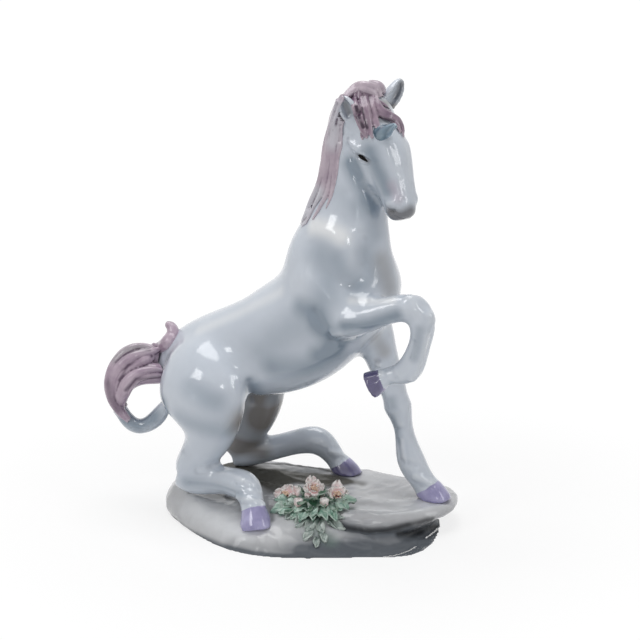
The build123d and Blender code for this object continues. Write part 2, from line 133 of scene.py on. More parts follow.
def voxelled(name, source, voxel):
    """A new mesh made by voxel remeshing a bmesh."""
    mesh = bpy.data.meshes.new(name + "_raw")
    source.to_mesh(mesh)
    source.free()
    raw = bpy.data.objects.new(name + "_raw", mesh)
    bpy.context.collection.objects.link(raw)
    modifier = raw.modifiers.new("voxels", "REMESH")
    modifier.mode = "VOXEL"
    modifier.voxel_size = voxel
    done = bpy.data.meshes.new_from_object(raw.evaluated_get(bpy.context.evaluated_depsgraph_get()))
    done.name = name
    bpy.data.objects.remove(raw)
    bpy.data.meshes.remove(mesh)
    return done


def eased(share):
    """A share from 0 to 1 with soft ends."""
    share = np.clip(share, 0, 1)
    return share * share * (3 - 2 * share)


class Clay:
    """The points of a mesh as arrays, with sculpting strokes and painted layers."""

    def __init__(self, mesh):
        self.mesh = mesh
        count = len(mesh.vertices)
        flat = np.empty(count * 3)
        mesh.vertices.foreach_get("co", flat)
        self.points = flat.reshape(count, 3)
        pairs = np.empty(len(mesh.edges) * 2, dtype=np.int64)
        mesh.edges.foreach_get("vertices", pairs)
        self.first, self.second = pairs.reshape(-1, 2).T
        ends = np.bincount(self.first, minlength=count) + np.bincount(self.second, minlength=count)
        self.valence = np.maximum(ends, 1)
        self.layers = {}
        self.tree = None
        self.settle()

    def settle(self):
        """Writes the points back and reads the new normals."""
        self.mesh.vertices.foreach_set("co", self.points.ravel())
        self.mesh.update()
        flat = np.empty(self.points.size)
        self.mesh.vertices.foreach_get("normal", flat)
        self.normals = flat.reshape(-1, 3)

    def plant(self):
        """Builds the tree that rays are cast on, from the points as they are now."""
        faces = [tuple(face.vertices) for face in self.mesh.polygons]
        self.tree = BVHTree.FromPolygons([Vector(point) for point in self.points], faces)

    def around(self, values):
        """The mean over each point's neighbours."""
        count = len(self.points)
        values = values.reshape(count, -1)
        mean = np.empty(values.shape)
        for column in range(values.shape[1]):
            lane = values[:, column]
            mean[:, column] = np.bincount(self.first, weights=lane[self.second], minlength=count)
            mean[:, column] += np.bincount(self.second, weights=lane[self.first], minlength=count)
        return mean / self.valence[:, None]

    def smooth(self, rounds, weight=1.0, keep=0.0):
        """Relaxes the points, with a second step outwards that keeps thin forms from shrinking."""
        weight = np.broadcast_to(weight, len(self.points))[:, None]
        for _ in range(rounds):
            self.points = self.points + 0.5 * weight * (self.around(self.points) - self.points)
            if keep:
                self.points = self.points - 0.5 * keep * weight * (self.around(self.points) - self.points)
        self.settle()

    def soften(self, values, rounds):
        """Spreads a layer's values into their neighbours."""
        for _ in range(rounds):
            values = self.around(values)[:, 0]
        return values

    def near(self, path):
        """Distance of every point from a path of places."""
        places = np.array([tuple(place) for place in path])
        best = np.linalg.norm(self.points - places[0], axis=1)
        for start, end in zip(places[:-1], places[1:]):
            run = end - start
            share = np.clip((self.points - start) @ run / max(run @ run, WELD * WELD), 0, 1)
            best = np.minimum(best, np.linalg.norm(self.points - start - share[:, None] * run, axis=1))
        return best

    def reach(self, hits, radius):
        """How strongly a stroke along hits touches each point, on the side that the hits face."""
        share = eased(1 - self.near([point for point, _ in hits]) / radius)
        facing = sum((normal for _, normal in hits), Vector()).normalized()
        return share * np.clip((self.normals @ np.array(facing)) * 2 + 0.6, 0, 1)

    def falloff(self, pixels, radius, mirrored=False):
        """The reach of a stroke along pixels, also on the other side of the head where it is mirrored."""
        hits = [hit for hit in (cast(px, py, self.tree) for px, py in pixels) if hit]
        if not hits:
            raise ValueError(f"pixels {pixels} miss {self.mesh.name}")
        touch = self.reach(hits, radius)
        if mirrored:
            twins = [POLL_POINT + HEAD_MIRROR @ (point - POLL_POINT) for point, _ in hits]
            found = [self.tree.find_nearest(twin) for twin in twins]
            touch = np.maximum(touch, self.reach([hit[:2] for hit in found], radius))
        return touch

    def stroke(self, pixels, radius, rise, mirrored=False):
        """Raises or sinks the skin along pixels."""
        self.points = self.points + self.normals * (self.falloff(pixels, radius, mirrored) * rise)[:, None]

    def paint(self, layer, pixels, radius, strength, mirrored=False):
        """Adds a soft stroke of colour along pixels to a layer."""
        held = self.layers.setdefault(layer, np.zeros(len(self.points)))
        held += self.falloff(pixels, radius, mirrored) * strength

    def find_hollows(self, depth, rounds):
        """Layers of how hollow and how proud each point lies; depth is the dip that counts as full."""
        lap = self.around(self.points) - self.points
        bend = self.soften((lap * self.normals).sum(axis=1) / depth, rounds)
        self.layers["hollow"] = np.clip(bend, 0, 1)
        self.layers["proud"] = np.clip(-bend, 0, 1)

    def store(self):
        """Keeps the painted layers as attributes that the materials read."""
        for layer, values in self.layers.items():
            attribute = self.mesh.attributes.new(layer, "FLOAT", "POINT")
            attribute.data.foreach_set("value", np.clip(values, 0, 1))


def cast(px, py, *trees, far=False):
    """The nearest point and normal that a pixel shows, or the farthest one, seen from behind."""
    heading = ray(px, py)
    start = EYE_POINT
    if far:
        start = EYE_POINT + heading * (2 * CAMERA_DISTANCE)
        heading = -heading
    best = None
    for tree in trees:
        point, normal, _, away = tree.ray_cast(start, heading)
        if point is not None and (best is None or away < best[2]):
            best = (point, normal if normal.dot(heading) < 0 else -normal, away)
    return best[:2] if best else None


# Materials

def srgb(red, green, blue):
    """A colour given as it looks on screen, 0 to 255, in the linear values that shaders take."""
    shares = [value / 255 for value in (red, green, blue)]
    return tuple(v / 12.92 if v <= 0.04045 else ((v + 0.055) / 1.055) ** 2.4 for v in shares) + (1.0,)


class Shader:
    """Builds the node tree of one glazed material."""

    def __init__(self, name):
        self.material = bpy.data.materials.new(name)
        self.material.use_nodes = True
        self.tree = self.material.node_tree
        self.surface = self.tree.nodes["Principled BSDF"]
        self.place = self.node("ShaderNodeTexCoord").outputs["Object"]

    def node(self, kind, **settings):
        made = self.tree.nodes.new(kind)
        for key, value in settings.items():
            setattr(made, key, value)
        return made

    def link(self, source, target):
        self.tree.links.new(source, target)

    def grain(self, scale, detail=3.0, stretch=(1, 1, 1)):
        """Cloudy noise of a scale in cycles per metre."""
        mapping = self.node("ShaderNodeMapping")
        mapping.inputs["Scale"].default_value = stretch
        self.link(self.place, mapping.inputs["Vector"])
        texture = self.node("ShaderNodeTexNoise")
        texture.inputs["Scale"].default_value = scale
        texture.inputs["Detail"].default_value = detail
        self.link(mapping.outputs["Vector"], texture.inputs["Vector"])
        return texture.outputs["Fac"]

    def spread(self, value, low, high, to_low=0.0, to_high=1.0):
        """Maps a value from one range to another, clamped."""
        ranger = self.node("ShaderNodeMapRange")
        for name, number in (("From Min", low), ("From Max", high), ("To Min", to_low), ("To Max", to_high)):
            ranger.inputs[name].default_value = number
        self.link(value, ranger.inputs["Value"])
        return ranger.outputs["Result"]

    def layer(self, name, low=0.0, high=1.0, to_high=1.0):
        """A painted layer of the mesh, from a range to a strength."""
        held = self.node("ShaderNodeAttribute", attribute_name=name).outputs["Fac"]
        return self.spread(held, low, high, 0.0, to_high)

    def blend(self, base, top, amount):
        """One colour over another by an amount; a colour is a tuple or a socket."""
        mixer = self.node("ShaderNodeMix", data_type="RGBA")
        for index, colour in ((6, base), (7, top)):
            if isinstance(colour, tuple):
                mixer.inputs[index].default_value = colour
            else:
                self.link(colour, mixer.inputs[index])
        self.link(amount, mixer.inputs[0])
        return mixer.outputs[2]

    def cloudy(self, light, dark, scale, stretch=(1, 1, 1)):
        """A colour that clouds from a light to a dark tone."""
        return self.blend(light, dark, self.spread(self.grain(scale, 3.0, stretch), 0.35, 0.65))

    def finish(self, colour, roughness, coat, ripple, ripple_scale):
        """Wires colour, a roughness range, the clear coat and a fine ripple of the glaze."""
        self.link(colour, self.surface.inputs["Base Color"])
        self.link(self.spread(self.grain(90), 0.3, 0.7, *roughness), self.surface.inputs["Roughness"])
        self.surface.inputs["Coat Weight"].default_value = coat
        self.surface.inputs["Coat Roughness"].default_value = 0.05
        bump = self.node("ShaderNodeBump")
        bump.inputs["Strength"].default_value = 1.0
        bump.inputs["Distance"].default_value = ripple
        self.link(self.grain(ripple_scale, 4.0), bump.inputs["Height"])
        self.link(bump.outputs["Normal"], self.surface.inputs["Normal"])
        return self.material


    def dull(self, *amounts):
        """Takes the clear coat away where any of some amounts is strong."""
        held = amounts[0]
        for amount in amounts[1:]:
            either = self.node("ShaderNodeMath", operation="MAXIMUM")
            self.link(held, either.inputs[0])
            self.link(amount, either.inputs[1])
            held = either.outputs[0]
        coat = self.surface.inputs["Coat Weight"]
        self.link(self.spread(held, 0.0, 0.9, coat.default_value, 0.0), coat)


RIPPLE = 0.05 * MM


def body_glaze():
    """Pale blue-grey porcelain with airbrushed colour, painted shade and painted highlights, and painted
    hooves, eyes and muzzle.
    """
    shader = Shader("body_glaze")
    colour = shader.cloudy(srgb(209, 216, 226), srgb(199, 207, 218), 35)
    # Painted highlight, a lighter tone, on proud places.
    colour = shader.blend(colour, srgb(223, 228, 234), shader.layer("proud", 0.1, 0.8, 0.5))
    # Painted highlight, near white, on the shoulder, the top of the forearm and along the back.
    colour = shader.blend(colour, srgb(240, 242, 244), shader.layer("painted_highlight", 0.0, 1.0, 0.9))
    # Cool blue-grey: airbrushed colour together with painted shade on the belly, throat, face side and under
    # the limbs.
    colour = shader.blend(colour, srgb(124, 140, 156), shader.layer("cool_airbrush_and_shade", 0.0, 1.0, 0.9))
    # Warm brown-grey: mostly painted shade on the inner side of the far legs and on the forehead under the
    # far ear, with some airbrushed colour on the chest.
    colour = shader.blend(colour, srgb(128, 120, 112), shader.layer("warm_airbrush_and_shade", 0.0, 1.0, 0.85))
    # Painted shade, blue-grey, in the hollows.
    colour = shader.blend(colour, srgb(120, 130, 144), shader.layer("hollow", 0.1, 0.9, 0.6))
    colour = shader.blend(colour, srgb(184, 170, 186), shader.layer("lilac", 0.0, 1.0, 0.8))
    colour = shader.blend(colour, srgb(88, 88, 94), shader.layer("grey", 0.0, 1.0, 0.9))
    hoof = shader.cloudy(srgb(176, 172, 210), srgb(146, 141, 184), 120)
    # Painted shade in the hollows of the hooves, and over the raised and far hooves that stand in shade.
    hoof = shader.blend(hoof, srgb(66, 54, 100), shader.layer("hollow", 0.1, 0.9, 0.8))
    hoof = shader.blend(hoof, srgb(78, 71, 112), shader.layer("painted_shade", 0.0, 1.0, 0.9))
    colour = shader.blend(colour, hoof, shader.layer("hoof", 0.42, 0.58))
    colour = shader.blend(colour, srgb(8, 7, 9), shader.layer("ink", 0.3, 0.8))
    return shader.finish(colour, (0.12, 0.20), 0.7, RIPPLE, 160)


def hair_glaze(name, light, dark, groove, pale):
    """Mauve glaze, with painted shade dark in the grooves and a painted highlight pale on the ridges."""
    shader = Shader(name)
    colour = shader.cloudy(light, dark, 110)
    # Painted highlight, a lighter tone, on the ridges.
    colour = shader.blend(colour, srgb(222, 208, 216), shader.layer("proud", 0.15, 0.9, 0.45))
    # Pale strokes: a greyer mane in places, and a painted sheen along the top of the tail.
    colour = shader.blend(colour, pale, shader.layer("pale", 0.0, 1.0, 0.9))
    # Painted shade in the grooves.
    colour = shader.blend(colour, groove, shader.layer("hollow", 0.05, 0.7, 0.9))
    shader.finish(colour, (0.14, 0.24), 0.7, RIPPLE, 300)
    shader.surface.inputs["Specular IOR Level"].default_value = 0.3
    shader.dull(shader.layer("hollow", 0.2, 1.0, 0.8))
    return shader.material


def horn_glaze():
    """Pale teal, with painted shade deepening it towards the root, under the forelock, and in the twist."""
    shader = Shader("horn_glaze")
    colour = shader.cloudy(srgb(142, 165, 181), srgb(104, 130, 150), 140)
    # Painted shade towards the root, where the forelock overhangs.
    colour = shader.blend(srgb(44, 74, 88), colour, shader.layer("along", 0.15, 0.7))
    # Painted shade in the twisted grooves.
    colour = shader.blend(colour, srgb(70, 100, 118), shader.layer("groove", 0.2, 1.0, 0.8))
    return shader.finish(colour, (0.10, 0.16), 0.8, RIPPLE, 260)


ROCK_GRAIN = 0.06 * MM


def rock_glaze():
    """Warm grey brushed glaze, with painted shade in the cracks, under the ledge and along the foot, dark
    paint and painted shadow behind the folded leg, and painted highlights on the edges and tops.
    """
    shader = Shader("rock_glaze")
    colour = shader.cloudy(srgb(206, 207, 209), srgb(188, 189, 192), 45)
    # Painted highlight on the front edges and the lit tops.
    colour = shader.blend(colour, srgb(224, 226, 229), shader.layer("light", 0.0, 1.0, 0.9))
    streak = shader.spread(shader.grain(120, 3.0, (0.35, 1, 1.6)), 0.5, 0.75, 0.0, 0.12)
    colour = shader.blend(colour, srgb(138, 138, 138), streak)
    # Painted shade in the hollows.
    colour = shader.blend(colour, srgb(96, 96, 94), shader.layer("hollow", 0.15, 0.9, 0.4))
    painted_shade = shader.layer("painted_shade", 0.0, 1.0, 0.92)
    dark_paint_and_shadow = shader.layer("dark_paint_and_shadow", 0.0, 1.0, 0.95)
    crevice_and_contact_shadow = shader.layer("crevice_and_contact_shadow", 0.0, 1.0, 0.95)
    # Painted shade along the foot and under the ledge, dark paint with painted shadow behind the folded leg,
    # and painted shadow in the crevices and beside the legs.
    colour = shader.blend(colour, srgb(88, 94, 101), painted_shade)
    colour = shader.blend(colour, srgb(82, 80, 71), dark_paint_and_shadow)
    colour = shader.blend(colour, srgb(34, 35, 37), crevice_and_contact_shadow)
    colour = shader.blend(colour, srgb(126, 150, 138), shader.layer("mint", 0.0, 1.0, 0.6))
    shader.finish(colour, (0.16, 0.32), 0.6, ROCK_GRAIN, 420)
    shader.surface.inputs["Specular IOR Level"].default_value = 0.1
    shader.dull(dark_paint_and_shadow, crevice_and_contact_shadow, painted_shade)
    return shader.material


def petal_glaze():
    """Pink petals, deep at the throat and creamy at the rim."""
    shader = Shader("petal_glaze")
    colour = shader.blend(srgb(232, 146, 154), srgb(254, 226, 226), shader.layer("along", 0.1, 0.45))
    colour = shader.blend(colour, srgb(254, 250, 247), shader.layer("along", 0.5, 0.85))
    blush = shader.spread(shader.grain(320), 0.52, 0.7, 0.0, 0.4)
    colour = shader.blend(colour, srgb(236, 172, 174), blush)
    return shader.finish(colour, (0.16, 0.26), 0.6, RIPPLE, 500)


def centre_glaze():
    """Rosy stamens with straw-coloured heads."""
    shader = Shader("flower_centre_glaze")
    colour = shader.cloudy(srgb(214, 132, 128), srgb(182, 92, 98), 500)
    colour = shader.blend(colour, srgb(232, 200, 176), shader.layer("along", 0.55, 0.9))
    return shader.finish(colour, (0.16, 0.26), 0.6, RIPPLE, 500)


def leaf_glaze(name, light, dark, root):
    """Mint leaves, with painted shade dark green at the root, darker along the midrib, and a painted
    highlight pale along the edges.
    """
    shader = Shader(name)
    colour = shader.cloudy(light, dark, 240)
    # Painted highlight, pale, along the edges.
    colour = shader.blend(colour, srgb(206, 220, 210), shader.layer("rib", 0.7, 1.0, 0.4))
    # Painted shade, dark green, towards each leaf's root.
    colour = shader.blend(root, colour, shader.layer("along", 0.0, 0.55))
    # Darker along the midrib.
    vein = shader.layer("rib", 0.0, 0.22)
    colour = shader.blend(dark, colour, vein)
    return shader.finish(colour, (0.16, 0.28), 0.6, RIPPLE, 500)


# Body skin, one continuous surface over the castings

SKIN_NODES = [
    "torso", "neck", "right_thigh", "left_thigh", "right_forearm", "left_forearm", "head",
    "right_hind_cannon", "left_hind_cannon", "right_fore_cannon", "left_fore_cannon",
    "right_hind_hoof", "left_hind_hoof", "right_fore_hoof", "left_fore_hoof", "tail_dock",
]
WIDE_COUNT = 2
BROAD_COUNT = 6
EAR_NODES = ["right_ear", "left_ear"]
HOOF_NODES = ["right_hind_hoof", "left_hind_hoof", "right_fore_hoof", "left_fore_hoof"]
FAR_LEG_NODES = ["left_thigh"]
SKIN_SWELL = 0.3 * MM
ROUGH_VOXEL = 1.5 * MM
SKIN_VOXEL = 0.7 * MM
WIDE_REACH = 24 * MM
BROAD_REACH = 12 * MM
SLIM_REACH = 6 * MM
SKIN_DIP = 0.05 * MM

# The head's own plane of symmetry
POLL_POINT = Vector((30, -13, 238)) * MM
MUZZLE_POINT = Vector((47, -36, 183)) * MM
HEAD_AXIS = (MUZZLE_POINT - POLL_POINT).normalized()
HEAD_ACROSS = Vector((0.707, 0.707, 0))
HEAD_SIDE = (HEAD_ACROSS - HEAD_AXIS * HEAD_ACROSS.dot(HEAD_AXIS)).normalized()
HEAD_MIRROR = Matrix.Identity(3) - 2 * Matrix([HEAD_SIDE * part for part in HEAD_SIDE])
HEAD_REACH = 21 * MM

EAR_WALL = 1.9 * MM
# Ears: root, tip, the way that the cup opens, and width
EARS = [
    (
        Vector((22.8, -20.3, 229.6)) * MM, Vector((16.4, -23.8, 242.2)) * MM,
        Vector((-0.48, -0.86, 0.16)), 10.2 * MM,
    ),
    (
        Vector((35.6, -9.0, 232.4)) * MM, Vector((47.0, -3.8, 247.2)) * MM,
        Vector((0.72, -0.69, -0.08)), 11.2 * MM,
    ),
]

# Modelled forms of the head, on both sides: pixels, radius and rise in millimetres
HEAD_FORMS = [
    ([(352, 142), (358, 149)], 4.6, 2.0),
    ([(345.5, 146), (350, 157)], 3.6, -0.8),
    ([(369, 150), (374, 162)], 5.0, -0.9),
    ([(387, 148), (391, 165), (395, 182), (398, 195)], 4.5, 0.7),
    ([(374, 166), (382, 180), (388, 192)], 6.0, -1.0),
    ([(344, 134), (348, 152), (356, 170), (367, 188), (376, 201)], 4.5, -0.7),
    ([(354, 158), (360, 170), (369, 183)], 5.0, 0.9),
    ([(360, 156.5), (366, 160)], 3.2, -0.7),
    ([(361, 158), (365, 160.5)], 1.9, 0.6),
    ([(355, 151.5), (360, 152), (365, 155), (369.5, 160)], 1.4, 0.9),
    ([(358, 159), (362, 162), (367, 164)], 1.2, 0.45),
    ([(389, 203), (396, 202)], 4.2, 1.2),
    ([(391, 211.5), (394, 211.5)], 2.1, -1.3),
    ([(388, 208), (390, 214), (396, 217.5), (403, 218.5)], 1.2, -0.6),
]
# Places where the skin is relaxed before it is modelled: pixels, radius in millimetres and rounds
SOFT_SPOTS = [
    ([(320, 294), (332, 312), (340, 328)], 16.0, 200),
    ([(338, 292), (356, 298)], 10.0, 60),
    ([(236, 356), (244, 366), (250, 378)], 12.0, 120),
]
# Forms of the body on the side that shows
BODY_FORMS = [
    ([(318, 228), (334, 234)], 11.0, 1.2),
    ([(347, 248), (350, 268)], 12.0, 1.6),
    ([(388, 238), (392, 262)], 9.0, 0.6),
    ([(366, 240), (364, 262), (352, 284)], 8.0, -1.2),
    ([(320, 262), (316, 284), (318, 304)], 10.0, -0.4),
    ([(304, 282), (318, 290), (330, 298)], 12.0, 1.6),
    ([(314, 312), (324, 328), (332, 341)], 5.5, -1.2),
    ([(333, 334), (340, 333)], 4.0, 1.3),
    ([(345, 320), (365, 324), (388, 322)], 4.0, 0.6),
    ([(249, 382), (251, 390), (252, 402)], 4.6, -1.0),
    ([(222, 360), (236, 380), (238, 396)], 10.0, 0.5),
    ([(190, 386), (205, 394), (222, 402)], 8.0, -0.5),
    ([(196, 410), (214, 420), (226, 426)], 9.0, 0.7),
    ([(409, 297)], 4.4, 1.0),
    ([(424, 304)], 6.5, -1.0),
    ([(431, 316), (432, 320)], 5.0, 1.5),
    ([(432, 336), (429, 348)], 4.5, -0.9),
    ([(427, 336), (423, 354), (418, 370)], 2.6, 0.6),
    ([(414, 342), (410, 358)], 2.2, -0.6),
    ([(417, 374), (413, 379)], 3.6, 1.2),
    ([(378, 364), (381, 374)], 3.0, 1.1),
    ([(392, 366), (395, 378)], 3.0, -0.6),
    ([(182, 456), (178, 468)], 4.0, 0.8),
    ([(190, 484), (215, 486), (238, 494)], 2.2, -0.5),
    ([(200, 470), (226, 472), (244, 480)], 2.6, 0.6),
    ([(238, 497), (250, 500), (263, 504)], 3.2, 1.3),
    ([(236, 484), (248, 487), (259, 488)], 3.0, -0.7),
    ([(394, 414), (399, 424)], 4.0, 0.9),
    ([(402, 440), (405, 462)], 1.8, 0.5),
    ([(398, 440), (400, 460)], 1.8, -0.5),
    ([(403, 476), (416, 477), (430, 483)], 3.8, 1.4),
    ([(404, 462), (416, 466)], 3.0, -0.6),
    ([(300, 430), (316, 428), (330, 436)], 4.0, 0.5),
    ([(332, 452), (342, 455), (352, 459)], 3.0, 1.0),
]
# Airbrushed and painted colour, with painted shade and painted highlights among it: layer, pixels, radius in
# millimetres, strength, mirrored across the head
PAINT = [
    ("cool_airbrush_and_shade", [(370, 152), (378, 170), (387, 190)], 9.0, 0.95, True),
    ("cool_airbrush_and_shade", [(354, 162), (358, 172)], 6.0, 0.6, True),
    ("cool_airbrush_and_shade", [(350, 164), (361, 186), (374, 206)], 8.0, 0.9, False),
    ("cool_airbrush_and_shade", [(360, 206), (370, 220), (374, 234)], 9.0, 0.5, False),
    ("cool_airbrush_and_shade", [(322, 255), (330, 275), (326, 296)], 15.0, 0.55, False),
    ("cool_airbrush_and_shade", [(318, 326), (334, 342)], 10.0, 0.7, False),
    ("cool_airbrush_and_shade", [(262, 352), (290, 330), (312, 318)], 17.0, 0.45, False),
    ("cool_airbrush_and_shade", [(275, 369), (305, 366), (334, 356)], 12.0, 0.65, False),
    ("cool_airbrush_and_shade", [(250, 384), (275, 397)], 9.0, 0.7, False),
    ("cool_airbrush_and_shade", [(180, 418), (205, 428), (226, 430)], 10.0, 0.45, False),
    ("cool_airbrush_and_shade", [(345, 326), (370, 324), (396, 315)], 6.5, 0.95, False),
    ("cool_airbrush_and_shade", [(366, 252), (371, 276), (358, 292)], 10.0, 0.5, False),
    ("cool_airbrush_and_shade", [(190, 388), (216, 400)], 10.0, 0.45, False),
    ("cool_airbrush_and_shade", [(420, 330), (414, 358)], 5.0, 0.5, False),
    ("cool_airbrush_and_shade", [(186, 482), (222, 488), (240, 494)], 6.0, 0.6, False),
    ("cool_airbrush_and_shade", [(392, 400), (398, 440)], 5.0, 0.5, False),
    ("cool_airbrush_and_shade", [(164, 404), (152, 418), (138, 425), (124, 418)], 8.0, 1.1, False),
    ("cool_airbrush_and_shade", [(300, 306), (320, 316), (332, 330)], 9.0, 0.6, False),
    ("cool_airbrush_and_shade", [(318, 352), (336, 346), (352, 338)], 9.0, 0.6, False),
    ("cool_airbrush_and_shade", [(206, 406), (224, 414)], 11.0, 0.18, False),
    ("cool_airbrush_and_shade", [(342, 194), (350, 214)], 9.0, 0.22, False),
    ("grey", [(377, 361), (397, 363)], 3.0, 0.35, False),
    ("cool_airbrush_and_shade", [(338, 258), (346, 272), (356, 284)], 8.0, 0.35, False),
    # Painted highlights on the shoulder plane, the forearm's top and the back.
    ("painted_highlight", [(314, 226), (328, 230), (340, 236)], 9.0, 1.1, False),
    ("painted_highlight", [(352, 300), (372, 301), (392, 300)], 4.5, 0.8, False),
    ("painted_highlight", [(200, 330), (228, 318), (280, 292)], 6.0, 0.5, False),
    # Painted shade on the far thigh, the far hind leg and the inner side of the far foreleg, and warm
    # airbrushed colour with painted shade on the chest.
    ("warm_airbrush_and_shade", [(240, 420), (262, 420), (280, 410)], 13.0, 1.0, False),
    ("warm_airbrush_and_shade", [(258, 398), (278, 394)], 8.0, 0.6, False),
    ("warm_airbrush_and_shade", [(236, 446), (262, 452)], 9.0, 0.9, False),
    ("warm_airbrush_and_shade", [(376, 336), (384, 352)], 7.0, 0.5, False),
    ("warm_airbrush_and_shade", [(382, 262), (390, 290)], 10.0, 0.45, False),
    ("lilac", [(392, 186), (398, 198)], 6.0, 0.6, False),
    ("lilac", [(384, 112), (394, 110)], 5.0, 0.6, False),
    ("lilac", [(112, 400), (119, 410)], 7.0, 1.1, False),
    # Painted shade on the forehead under the far ear, and painted shadow across the forehead just above the
    # horn.
    ("warm_airbrush_and_shade", [(383, 104), (393, 106)], 4.5, 0.9, False),
    ("warm_airbrush_and_shade", [(378, 115), (394, 116)], 3.2, 1.1, False),
    ("grey", [(376, 121), (386, 121)], 3.0, 0.8, False),
    ("grey", [(391, 212), (400, 216), (410, 212)], 6.0, 1.1, True),
    ("grey", [(394, 218), (405, 219)], 5.0, 1.2, True),
    ("grey", [(345, 103), (349, 112)], 3.6, 0.8, False),
    ("grey", [(402, 84), (396, 98)], 3.4, 0.9, False),
    ("ink", [(391.5, 211.5), (393.5, 211.5)], 1.6, 0.6, True),
    ("grey", [(358, 154.5), (363, 157), (368, 161)], 2.6, 0.7, True),
    # Painted shade over the raised fore hoof and the far hind hoof.
    ("painted_shade", [(368, 376), (371, 392)], 11.0, 1.6, False),
    ("painted_shade", [(334, 462), (340, 469), (352, 470)], 8.0, 1.0, False),
]


def node_labels(points):
    """The index of the casting that each point lies nearest to."""
    corners, faces, owner = [], [], []
    for index, node in enumerate(SKIN_NODES):
        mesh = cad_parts[node].data
        start = len(corners)
        corners += [vert.co.copy() for vert in mesh.vertices]
        faces += [tuple(start + vert for vert in face.vertices) for face in mesh.polygons]
        owner += [index] * len(mesh.polygons)
    tree = BVHTree.FromPolygons(corners, faces)
    return np.array([owner[tree.find_nearest(Vector(point))[2]] for point in points])


def closeness(points, places, reach):
    """How near each point is to any of some places, from 0 at the reach to 1."""
    if len(places) == 0:
        return np.zeros(len(points))
    lookup = KDTree(len(places))
    for index, place in enumerate(places):
        lookup.insert(Vector(place), index)
    lookup.balance()
    away = np.array([lookup.find(Vector(point))[2] for point in points])
    return eased(1 - away / reach)


def relax_seams(clay):
    """Smooths the skin widely where the neck grows out of the trunk, less at the limbs, closely elsewhere."""
    label = node_labels(clay.points)
    one, other = label[clay.first], label[clay.second]
    crossing = one != other
    higher = np.maximum(one, other)
    bands = (
        (crossing & (higher < WIDE_COUNT), WIDE_REACH, 90),
        (crossing & (higher >= WIDE_COUNT) & (higher < BROAD_COUNT), BROAD_REACH, 40),
        (crossing & (higher >= BROAD_COUNT), SLIM_REACH, 10),
    )
    weights = [
        closeness(clay.points, clay.points[np.unique(clay.first[edges])], reach)
        for edges, reach, _ in bands
    ]
    for weight, (_, _, rounds) in zip(weights, bands):
        clay.smooth(rounds, weight)
    clay.smooth(4, 1.0, 1.0)


def shell(whole, rows, thickness, layers=()):
    """Adds a thin closed sheet to a bmesh from rows of places; layers give each place a value."""
    height, width = len(rows), len(rows[0])
    grid = {}
    for row in range(height):
        for column in range(width):
            down = rows[min(row + 1, height - 1)][column] - rows[max(row - 1, 0)][column]
            over = rows[row][min(column + 1, width - 1)] - rows[row][max(column - 1, 0)]
            normal = over.cross(down).normalized()
            for face in (0, 1):
                vert = whole.verts.new(rows[row][column] + normal * (thickness * (0.5 - face)))
                for name, values in layers:
                    vert[whole.verts.layers.float[name]] = values[row][column]
                grid[row, column, face] = vert
    for row in range(height - 1):
        for column in range(width - 1):
            corners = ((row, column), (row, column + 1), (row + 1, column + 1), (row + 1, column))
            whole.faces.new([grid[corner + (0,)] for corner in corners])
            whole.faces.new([grid[corner + (1,)] for corner in reversed(corners)])
    rim = [(0, column) for column in range(width)]
    rim += [(row, width - 1) for row in range(1, height)]
    rim += [(height - 1, column) for column in range(width - 2, -1, -1)]
    rim += [(row, 0) for row in range(height - 2, 0, -1)]
    for here, ahead in zip(rim, rim[1:] + rim[:1]):
        whole.faces.new([grid[here + (1,)], grid[ahead + (1,)], grid[ahead + (0,)], grid[here + (0,)]])


def add_ear(whole, root, tip, hollow, width):
    """Adds a cupped, pointed ear to a bmesh; hollow is the way its open side faces."""
    along = tip - root
    back = (along * (along.dot(hollow) / along.length_squared) - hollow).normalized()
    side = along.normalized().cross(back)
    rows = []
    for row in range(15):
        share = row / 14
        half = width / 2 * min((0.62 + 1.25 * share) * (1 - share) ** 0.62 + 0.05, 1.02)
        turns = [math.pi * (column / 12 - 0.5) * 1.25 for column in range(13)]
        rows.append([
            root + along * share + side * (math.sin(turn) * half)
            + back * (half * (0.75 * math.cos(turn) - 0.4))
            for turn in turns
        ])
    shell(whole, rows, EAR_WALL)


def refine(mesh, start, end, reach):
    """Divides the faces of a mesh near a line."""
    whole = bmesh.new()
    whole.from_mesh(mesh)
    run = end - start
    chosen = []
    for edge in whole.edges:
        middle = (edge.verts[0].co + edge.verts[1].co) / 2
        share = min(max((middle - start).dot(run) / run.length_squared, 0), 1)
        if (middle - start - run * share).length < reach:
            chosen.append(edge)
    bmesh.ops.subdivide_edges(whole, edges=chosen, cuts=1, use_grid_fill=True)
    whole.to_mesh(mesh)
    whole.free()


